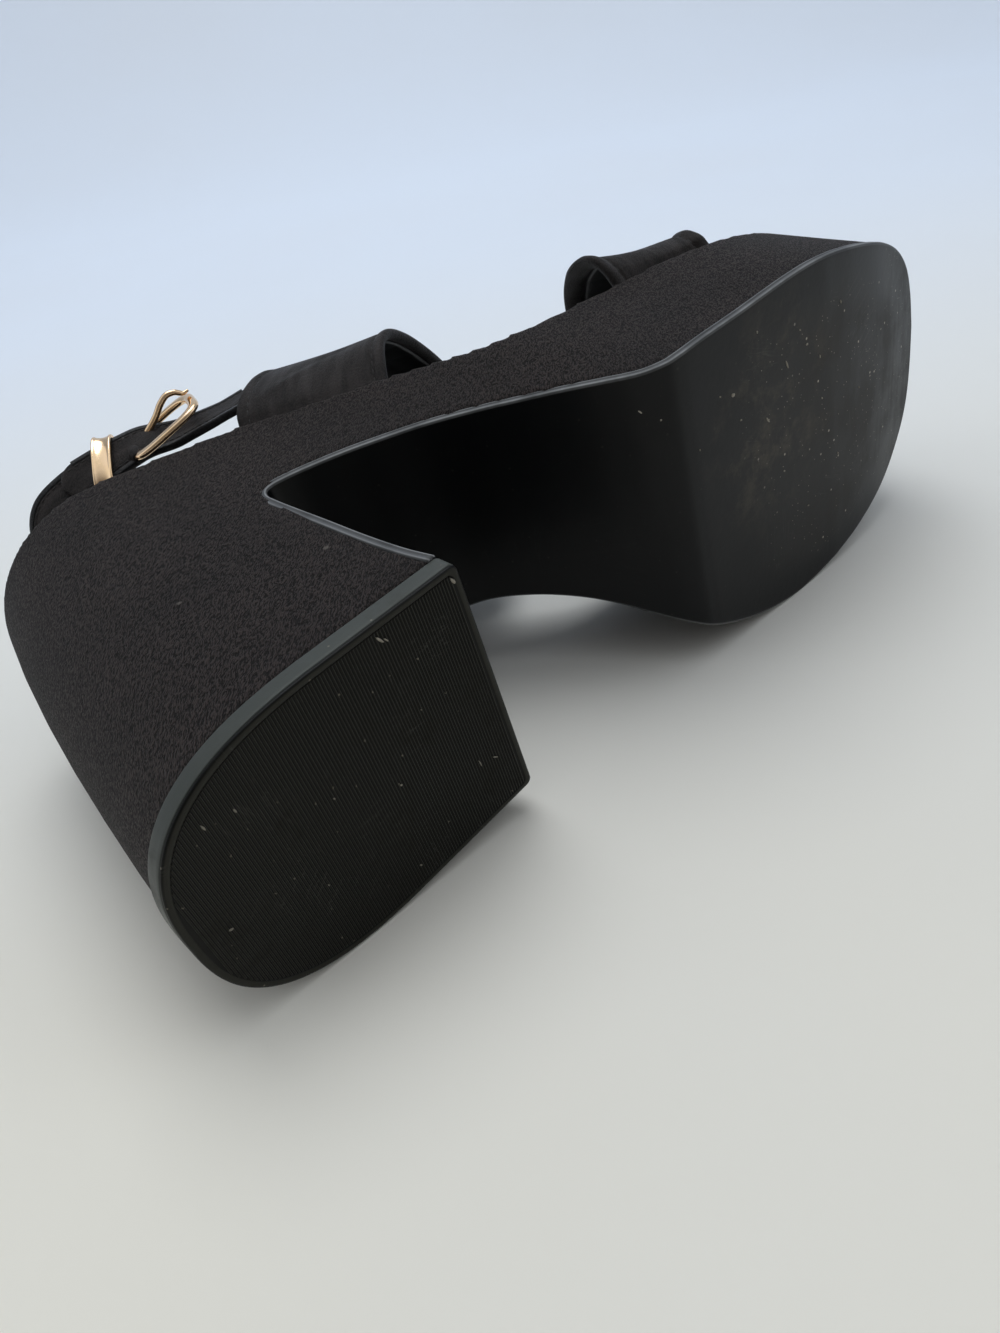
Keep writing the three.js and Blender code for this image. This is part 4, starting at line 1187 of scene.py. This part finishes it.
# %% The strap's line and its directions
ANKLE_PATH = [
    # x, y, z, lean of the top edge outwards in degrees
    (107.1, -36.5, 112.3, -7), (98.4, -35.4, 115.4, -7), (88.8, -34.6, 119.7, 1),
    (77.2, -34.2, 124.8, 17), (65.2, -33.2, 128.8, 31), (55, -31.8, 131.3, 33),
    (47.2, -29.1, 132.2, 30), (42.8, -23.7, 132.1, 24), (40.4, -10, 131.6, 14),
    (41.2, 6, 131.6, 12), (45.6, 19, 131.6, 10), (53.4, 26.8, 130.8, 10), (66, 30.4, 128, 8),
    (82, 30.6, 123, 6), (98, 29.4, 116.2, 6), (113, 28.2, 110, 8), (124, 26.6, 104.8, 12),
    (131, 25, 101.6, 14),
]
STRAP_WIDTH, STRAP_THICK, BILLET_THICK = 11.6, 2.2, 1.5
LOOP_MIDDLE = (75, 0, 0)


def space_curve(rows):
    """A centripetal Catmull-Rom curve in space."""
    rows = np.asarray(rows, float)
    first, last = 2 * rows[0] - rows[1], 2 * rows[-1] - rows[-2]
    rows = np.concatenate([[first], rows, [last]])
    parts = []
    for i in range(len(rows) - 3):
        a, b, c, d = rows[i : i + 4]
        before, here, after = (np.linalg.norm(q - p) ** 0.5 for p, q in ((a, b), (b, c), (c, d)))
        leaving = ((b - a) / before - (c - a) / (before + here) + (c - b) / here) * here
        arriving = ((c - b) / here - (d - b) / (here + after) + (d - c) / after) * here
        parts.append(bend(b, c, leaving, arriving))
    return np.concatenate([*parts, rows[-2:-1]])


ankle_line = space_curve([row[:3] for row in ANKLE_PATH])
ankle_places = np.linspace(0, 1, len(ankle_line))


def ankle_frames(places):
    """Centre, along, width and out directions of the ankle strap at places 0 to 1."""
    centre = read_at(places, ankle_places, ankle_line)
    along = unit(read_at(places, ankle_places, unit(np.gradient(ankle_line, axis=0))))
    lean_at = np.interp(places * (len(ANKLE_PATH) - 1), range(len(ANKLE_PATH)), [r[3] for r in ANKLE_PATH])
    lean = np.radians(lean_at)[:, None]
    level = unit(along * (1, 1, 0))
    outward = np.column_stack([-level[:, 1], level[:, 0], np.zeros(len(level))])
    away = (outward * (centre * (1, 1, 0) - LOOP_MIDDLE)).sum(axis=1)
    outward[away < 0] *= -1
    width = np.array([0, 0, 1.0]) * np.cos(lean) + outward * np.sin(lean)
    width = unit(width - along * (width * along).sum(axis=1, keepdims=True))
    out = unit(np.cross(along, width))
    out[(out * outward).sum(axis=1) < 0] *= -1
    return centre, along, width, out


def place_at(x):
    """Place of an x on the strap's outer run."""
    places = np.linspace(0, 0.4, 2000)
    xs = np.interp(places, ankle_places, ankle_line[:, 0])
    return float(np.interp(-x, -xs, places))


def flat_section(half, thick, crown):
    """A flat strap's rounded section: across and out, in millimetres."""
    angle = np.linspace(0, 2 * np.pi, 40, endpoint=False)
    cos, sin = np.cos(angle), np.sin(angle)
    across = half * boxed(cos, 2 / 5.0)
    out = thick / 2 * boxed(sin, 2 / 2.6) + crown * np.sign(sin) * (1 - (across / half) ** 2)
    return across, out


def strap_length(name, start, end, lift, thick, material, count, half=STRAP_WIDTH / 2, shift=0.0,
                 crown=0.18, rounded_end=False):
    """A flat strap between two places. lift gives its height over the strap's own line."""
    places = np.linspace(start, end, count)
    centre, along, width, out = ankle_frames(places)
    run = run_along(centre)
    rings, flats = [], []
    for i, place in enumerate(places):
        narrow = 1.0
        if rounded_end:
            narrow = math.sqrt(max(1 - max(1 - (run[-1] - run[i]) / half, 0) ** 2, 0.004))
        across, high = flat_section(half * narrow, thick, crown)
        across = across + shift
        raised = high + lift(place)
        rings.append(laid(centre[i] + across[:, None] * width[i] + raised[:, None] * out[i]))
        flats.append(np.column_stack([np.full(len(across), run[i]), across + half]))
    made = piece(name, *lofted(rings), material, "strap_fabric")
    mapped(made, np.concatenate(rings), np.concatenate(flats))


BUCKLE_REAR_X, BILLET_END_X = 71.8, 53.5
BILLET_LIFT = (STRAP_THICK + BILLET_THICK) / 2 + 0.12


CLIMB_FROM, CLIMB_LONG = 86, 11


def flat_lift(place):
    return 0.0


def billet_lift(place):
    """The fastening length climbs over the buckle's rear bar and lies on the other length."""
    x = float(np.interp(place, ankle_places, ankle_line[:, 0]))
    return BILLET_LIFT * eased(min(max((CLIMB_FROM - x) / CLIMB_LONG, 0), 1))


strap_length("ankle_billet", 0.0, place_at(BILLET_END_X), billet_lift, 1.7, strap_satin, 150,
             rounded_end=True)
strap_length("ankle_strap_heel", place_at(BUCKLE_REAR_X), 1.0, flat_lift, STRAP_THICK, strap_satin, 300)
print("ankle strap runs", round(run_along(ankle_line)[-1]), "mm")

# %% [markdown]
# The binding is a narrow bead of smoother cloth along the strap's top edge, and another
# along the lower one. It stands a little proud, so it catches a thin line of light.

# %% Bindings
for side, tag in ((1, "top"), (-1, "low")):
    strap_length(f"ankle_binding_{tag}", place_at(BUCKLE_REAR_X - 1.5), 1.0, flat_lift,
                 STRAP_THICK + 0.5, binding_cloth, 300, 0.95, side * (STRAP_WIDTH / 2 - 0.75), 0.05)
    strap_length(f"billet_binding_{tag}", 0.012, place_at(BILLET_END_X + 5.2), billet_lift,
                 2.15, binding_cloth, 130, 0.8, side * (STRAP_WIDTH / 2 - 0.7), 0.05)

# %% [markdown]
# ## Buckle, prong and keeper
#
# The frame is a round-cornered loop of rounded bar. The prong is a thin rod hooked on the
# rear bar. The keeper is a flat loop whose face is hollowed between two raised rims. All
# three are sections carried round a path, with many small steps because gold shows every
# flat.

# %% Directions of the buckle
BUCKLE_AT, BUCKLE_LONG, BUCKLE_ACROSS, BAR = (83.1, -37.6, 122.7), 23, 17.6, 2.1
turn, pitch, lean = (math.radians(degrees) for degrees in (-17, 14, -10))
level = np.array([math.cos(turn), math.sin(turn), 0])
beside = np.array([math.sin(turn), -math.cos(turn), 0])
upright = np.array([0, 0, 1.0])
buckle_long = level * math.cos(pitch) - upright * math.sin(pitch)
buckle_rise = level * math.sin(pitch) + upright * math.cos(pitch)
buckle_across = buckle_rise * math.cos(lean) + beside * math.sin(lean)
buckle_out = np.cross(buckle_long, buckle_across)


def on_buckle(long, across, out):
    return (
        np.array(BUCKLE_AT) + np.multiply.outer(long, buckle_long)
        + np.multiply.outer(across, buckle_across) + np.multiply.outer(out, buckle_out)
    )


def rounded_loop(count, power):
    angle = np.linspace(0, 2 * np.pi, count, endpoint=False)
    return zip(boxed(np.cos(angle), 2 / power), boxed(np.sin(angle), 2 / power))


half_long, half_across = (BUCKLE_LONG - BAR) / 2, (BUCKLE_ACROSS - BAR) / 2
BAR_HALF_WIDE, BAR_HALF_DEEP = 1.45, 1.0
angle = np.linspace(0, 2 * np.pi, 24, endpoint=False)
reach, depth = BAR_HALF_WIDE * boxed(np.cos(angle), 0.8), BAR_HALF_DEEP * boxed(np.sin(angle), 0.8)
rings = [
    laid(on_buckle(c * (half_long + reach), s * (half_across + reach), depth))
    for c, s in rounded_loop(160, 3.6)
]
piece("buckle_loop", *lofted(rings, loop=True), gold, "gold_metal", ["buckle_frame"])

# %% [markdown]
# The prong is a rod whose end thins to a blunt tip, held by an eye round the rear bar.

# %% Prong
def rod_along(name, path, radii, material, slot, replaces=(), count=90, sides=16):
    """A round rod along a path, its radii spread evenly from end to end."""
    line = even_steps(space_curve(path), count)
    along = unit(np.gradient(line, axis=0))
    side = unit(np.cross(np.array([0.1, 0.2, 1.0]), along))
    up = np.cross(along, side)
    size = np.interp(np.linspace(0, 1, count), np.linspace(0, 1, len(radii)), radii)
    angle = np.linspace(0, 2 * np.pi, sides, endpoint=False)
    rings = [
        laid(line[i] + size[i] * (np.outer(np.cos(angle), side[i]) + np.outer(np.sin(angle), up[i])))
        for i in range(count)
    ]
    return piece(name, *lofted(rings), material, slot, replaces)


PRONG_RADIUS, PRONG_ABOVE, PRONG_FREE = 0.75, 3, 0.3
base = -half_long + BAR / 2 + PRONG_RADIUS + PRONG_FREE
rest = BAR * 0.4 + PRONG_RADIUS + PRONG_FREE
prong_path = [
    (base, -0.6), (-6, 0.4), (-3, 1.2), (0.4, 2.4), (3.6, 4.0), (6.4, 4.7), (8.6, 3.9),
    (half_long - 0.2, rest + 0.3), (half_long + 1.5, rest),
]
prong_radii = [1.0, 0.98, 0.96, 0.95, 0.95, 0.95, 0.92, 0.86, 0.76, 0.35]
rod_along("prong_rod", [on_buckle(a, PRONG_ABOVE, o) for a, o in prong_path], prong_radii, gold,
          "gold_metal", ["buckle_prong"])

EYE_FREE, EYE_THICK, EYE_WIDE = 0.62, 0.6, 1.0
turn_on = np.linspace(0, 2 * np.pi, 14, endpoint=False)
spread = EYE_THICK * np.cos(turn_on)
rings = []
for a in np.linspace(0, 2 * np.pi, 28, endpoint=False):
    mid_long = -half_long + math.cos(a) * (BAR / 2 + EYE_FREE)
    mid_out = math.sin(a) * (BAR * 0.4 + EYE_FREE)
    rings.append(laid(on_buckle(mid_long + spread * math.cos(a),
                                PRONG_ABOVE + EYE_WIDE * np.sin(turn_on),
                                mid_out + spread * math.sin(a))))
piece("prong_eye", *lofted(rings, loop=True), gold, "gold_metal")

# %% [markdown]
# The keeper leans across the strap. Its section is a flat channel between two raised rims.

# %% Keeper
KEEPER_X, KEEPER_WIDTH, KEEPER_LONG, KEEPER_ROOM = 65.6, 5.4, 15.8, 1.2
centre, along, width, out = (v[0] for v in ankle_frames(np.array([place_at(KEEPER_X)])))
slant = math.radians(24)
keeper_across = width * math.cos(slant) - along * math.sin(slant)
keeper_along = along * math.cos(slant) + width * math.sin(slant)
low = -STRAP_THICK / 2 - KEEPER_ROOM
high = STRAP_THICK / 2 + BILLET_THICK + KEEPER_ROOM
# place along the strap as a share of half the width, and how far outside the inner face
CHANNEL = [
    (-1.0, 0.05), (-1.0, 0.7), (-0.97, 0.98), (-0.9, 1.1), (-0.8, 1.08), (-0.7, 0.92), (-0.5, 0.7),
    (-0.25, 0.6), (0, 0.56), (0.25, 0.6), (0.5, 0.7), (0.7, 0.92), (0.8, 1.08), (0.9, 1.1),
    (0.97, 0.98), (1.0, 0.7), (1.0, 0.05), (0.9, 0.0), (0.4, 0.0), (-0.4, 0.0), (-0.9, 0.0),
]
place_on, raised = np.array(CHANNEL).T[:, :, None]
rings = []
for c, s in rounded_loop(140, 2.9):
    across = c * (KEEPER_LONG / 2 + raised)
    outer = (low + high) / 2 + s * ((high - low) / 2 + raised)
    rings.append(laid(
        centre + keeper_along * place_on * KEEPER_WIDTH / 2 + keeper_across * across + out * outer
    ))
piece("keeper_band", *lofted(rings, loop=True), gold, "gold_metal", ["keeper_loop"])

# %% [markdown]
# The heel length's end is folded round the rear bar: a short sleeve of the same cloth.

# %% Folded end
fold = [on_buckle(-half_long, a, 0.0) for a in (-5.9, -5.7, -3, 0, 3, 5.7, 5.9)]
fold_radii = [1.2, 2.05, 2.15, 2.15, 2.15, 2.05, 1.2]
sleeve = rod_along("strap_fold", fold, fold_radii, strap_satin, "strap_fabric", (), 40, 20)
mapped(sleeve, points_of(sleeve), standing(points_of(sleeve))[:, [0, 2]])

# %% [markdown]
# ## Stitches
#
# Sewing is a repeat: the same short stitch every few millimetres. A Geometry Nodes tree
# walks along a seam line, drops a stitch at each step and lays it flat on the cloth. The
# seam is a mesh of edges whose points carry the direction that faces out of the cloth.

# %% A stitch at every step
stitcher, given, result = geometry_tree(
    "Stitches", [("Pitch", FLOAT, 2.6), ("Stitch Length", FLOAT, 1.9), ("Thread", FLOAT, 0.42)]
)
pitch, long, thick = (
    times(stitcher, given[title], MM) for title in ("Pitch", "Stitch Length", "Thread")
)
as_curve = first_out(stitcher, "GeometryNodeMeshToCurve", {"Mesh": given["Geometry"]})
walked = first_out(stitcher, "GeometryNodeResampleCurve", {
    "Curve": as_curve, "Length": pitch}, mode="LENGTH")
facing = first_out(stitcher, "GeometryNodeInputNamedAttribute", {"Name": "facing"}, data_type="FLOAT_VECTOR")
heading = first_out(stitcher, "GeometryNodeInputTangent")
tilt = first_out(stitcher, "FunctionNodeAxesToRotation", {
    0: facing, 1: heading}, primary_axis="Z", secondary_axis="X")
bead = first_out(stitcher, "GeometryNodeMeshUVSphere", {"Segments": 8, "Rings": 6, "Radius": 0.5})
shape = first_out(stitcher, "ShaderNodeCombineXYZ", {0: long, 1: thick, 2: thick})
set_out(stitcher, given, result, Points=walked, Instance=bead, Rotation=tilt, Scale=shape)


def seam(name, lines, pitch=2.6, length=1.9, thick=0.42):
    """Stitches along lines of (points, outward directions), in shoe millimetres."""
    points, facing, edges = [], [], []
    for line, out in lines:
        edges += [(len(points) + i, len(points) + i + 1) for i in range(len(line) - 1)]
        points += list(laid(line))
        facing += list(out @ TURN.T)
    made = point_cloud(name, points, edges, facing=facing)
    grown(made, stitcher, Pitch=pitch, Stitch_Length=length, Thread=thick, Material=thread)
    dressed(made)


def band_seam(name, pair, section, inset, proud, width):
    """A seam along both edges of a band, at an inset from each."""
    a, a_out, b, b_out = pair
    lines = []
    for share in (inset / width, 1 - inset / width):
        out = unit(a_out + (b_out - a_out) * share)
        high = float(np.interp(share, section[0], section[1])) + proud
        lines.append((a + (b - a) * share + out * high, out))
    seam(name, lines)


band_seam("instep_stitches", arch_pair(INSTEP_REAR, INSTEP_FRONT, 8, -18), instep_section,
          INSTEP_RIM, 0.05, INSTEP_WIDE)
band_seam("toe_stitches", arch_pair(TOE_REAR, TOE_FRONT, 10, -10), toe_section, TOE_RIM, 0.02, TOE_WIDE)

strap_lines = []
for side in (1, -1):
    for start, end, count, inset, lift, proud in (
        (place_at(68), 0.985, 260, 2.1, flat_lift, STRAP_THICK / 2 + 0.12),
        (0.02, place_at(BILLET_END_X + 4), 160, 2.0, billet_lift, 0.95),
    ):
        places = np.linspace(start, end, count)
        centre, along, width, out = ankle_frames(places)
        raised = np.array([lift(place) for place in places])[:, None] + proud
        strap_lines.append((centre + width * side * (STRAP_WIDTH / 2 - inset) + out * raised, out))
seam("ankle_stitches", strap_lines, 2.2, 1.6, 0.36)

# %% [markdown]
# ## Floor, light and camera
#
# The shoe lies on a white sheet that lies flat and then curves up behind it, like a
# photographer's roll of paper. It carries the shadow, warm near the camera and bluer far
# away.

# %% Floor and backdrop
HEADING = np.array([0.602, 0.799])  # level direction in which the camera looks
FLOOR_NEAR, FLOOR_FAR, FLOOR_SOFT = (0.89, 0.85, 0.75), (0.80, 0.87, 0.98), (0.76, 0.78, 0.82)
floor_material, tree, shader, place = new_material("floor", Roughness=0.9, Specular_IOR_Level=0.15)
axes = add(tree, "ShaderNodeSeparateXYZ", {0: place})
away = calc(tree, "ADD", *(times(tree, axes.outputs[k], float(HEADING[k])) for k in (0, 1)))
tone = mixed(tree, ramp(tree, away, -0.25, 0.55), FLOOR_NEAR, FLOOR_FAR)
soft = ramp(tree, noise(tree, place, 2.2, 3.0), 0.35, 0.7, 0.0, 0.2)
tree.links.new(mixed(tree, soft, tone, FLOOR_SOFT), shader.inputs["Base Color"])

FLAT_FROM, FLAT_TO, CURVE, WALL_TOP, HALF_WIDTH = -9.0, 0.75, 0.6, 5.0, 12.0
turn = np.linspace(0, np.pi / 2, 24)
sheet_line = np.concatenate([
    [(FLAT_FROM, 0.0)],
    np.stack([FLAT_TO + CURVE * np.sin(turn), CURVE * (1 - np.cos(turn))], axis=1),
    [(FLAT_TO + CURVE, WALL_TOP)],
])
corners = []
for side in (HALF_WIDTH, -HALF_WIDTH):
    for reach, height in sheet_line:
        x, y = HEADING * reach + np.array([-HEADING[1], HEADING[0]]) * side
        corners.append((x, y, height))
count = len(sheet_line)
mesh = bpy.data.meshes.new("floor")
mesh.from_pydata(corners, [], [(i, i + 1, count + i + 1, count + i) for i in range(count - 1)])
smooth_shaded(mesh)
mesh.materials.append(floor_material)
placed("floor", mesh)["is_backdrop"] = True
print("sheet:", len(mesh.polygons), "strips")


# %% [markdown]
# One wide soft light hangs above and a little beyond the shoe, and gives the pale edges.
# The world fills the rest. It is bright all round but for a darker patch behind the
# camera, where a real room would be, which keeps the face of the sole dark.

# %% Lights
lamp = bpy.data.lights.new("window", "AREA")
lamp.shape, lamp.size, lamp.energy, lamp.color = "DISK", 1.3, 12, (0.95, 0.98, 1.0)
lamp_place, lamp_target = Vector((0.25, 0.45, 1.7)), Vector((0, 0, 0.05))
window = placed("window", lamp)
window.location = lamp_place
window.rotation_euler = (lamp_target - lamp_place).to_track_quat("-Z", "Y").to_euler()

BRIGHT, DIM, TOWARDS_ROOM = (0.90, 0.95, 1.0), (0.17, 0.165, 0.16), (-0.58, -0.78, 0.22)
world = bpy.data.worlds.new("soft room")
world.use_nodes = True
sky, background = world.node_tree, world.node_tree.nodes["Background"]
toward = add(sky, "ShaderNodeTexCoord").outputs["Generated"]
room = add(sky, "ShaderNodeVectorMath", {0: toward, 1: TOWARDS_ROOM}, operation="DOT_PRODUCT")
dim = ramp(sky, room.outputs["Value"], 0.15, 0.85)
sky.links.new(mixed(sky, dim, BRIGHT, DIM), background.inputs[0])
background.inputs[1].default_value = 1.0
bpy.context.scene.world = world
bpy.context.scene.view_settings.view_transform = "Standard"
print("one light of", lamp.energy, "W")

# %% [markdown]
# The camera stands low beside the heel and looks along the sole, rolled a little. Its
# three directions and its place were solved from the outlines in the photograph.

# %% Camera
CAMERA_AT, LENS = (-0.16097, -0.21082, 0.17503), 27.007
CAMERA_RIGHT, CAMERA_UP = (0.71790, -0.67952, -0.15124), (0.49868, 0.35040, 0.79280)
CAMERA_BACK = (-0.48573, -0.64457, 0.59041)
camera_data = bpy.data.cameras.new("camera")
camera_data.lens = LENS
camera = placed("camera", camera_data)
columns = zip(CAMERA_RIGHT, CAMERA_UP, CAMERA_BACK, CAMERA_AT)
camera.matrix_world = Matrix((*columns, (0, 0, 0, 1)))
bpy.context.scene.camera = camera
print("camera at", CAMERA_AT)

# %% [markdown]
# The box round the dressed shoe is printed, in millimetres. The dressed shoe has to
# stay close to the CAD box.

# %% Sizes, and the end
low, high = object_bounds()
print("visual box in mm:", [round(v * 1000, 2) for v in (*low, *high)])
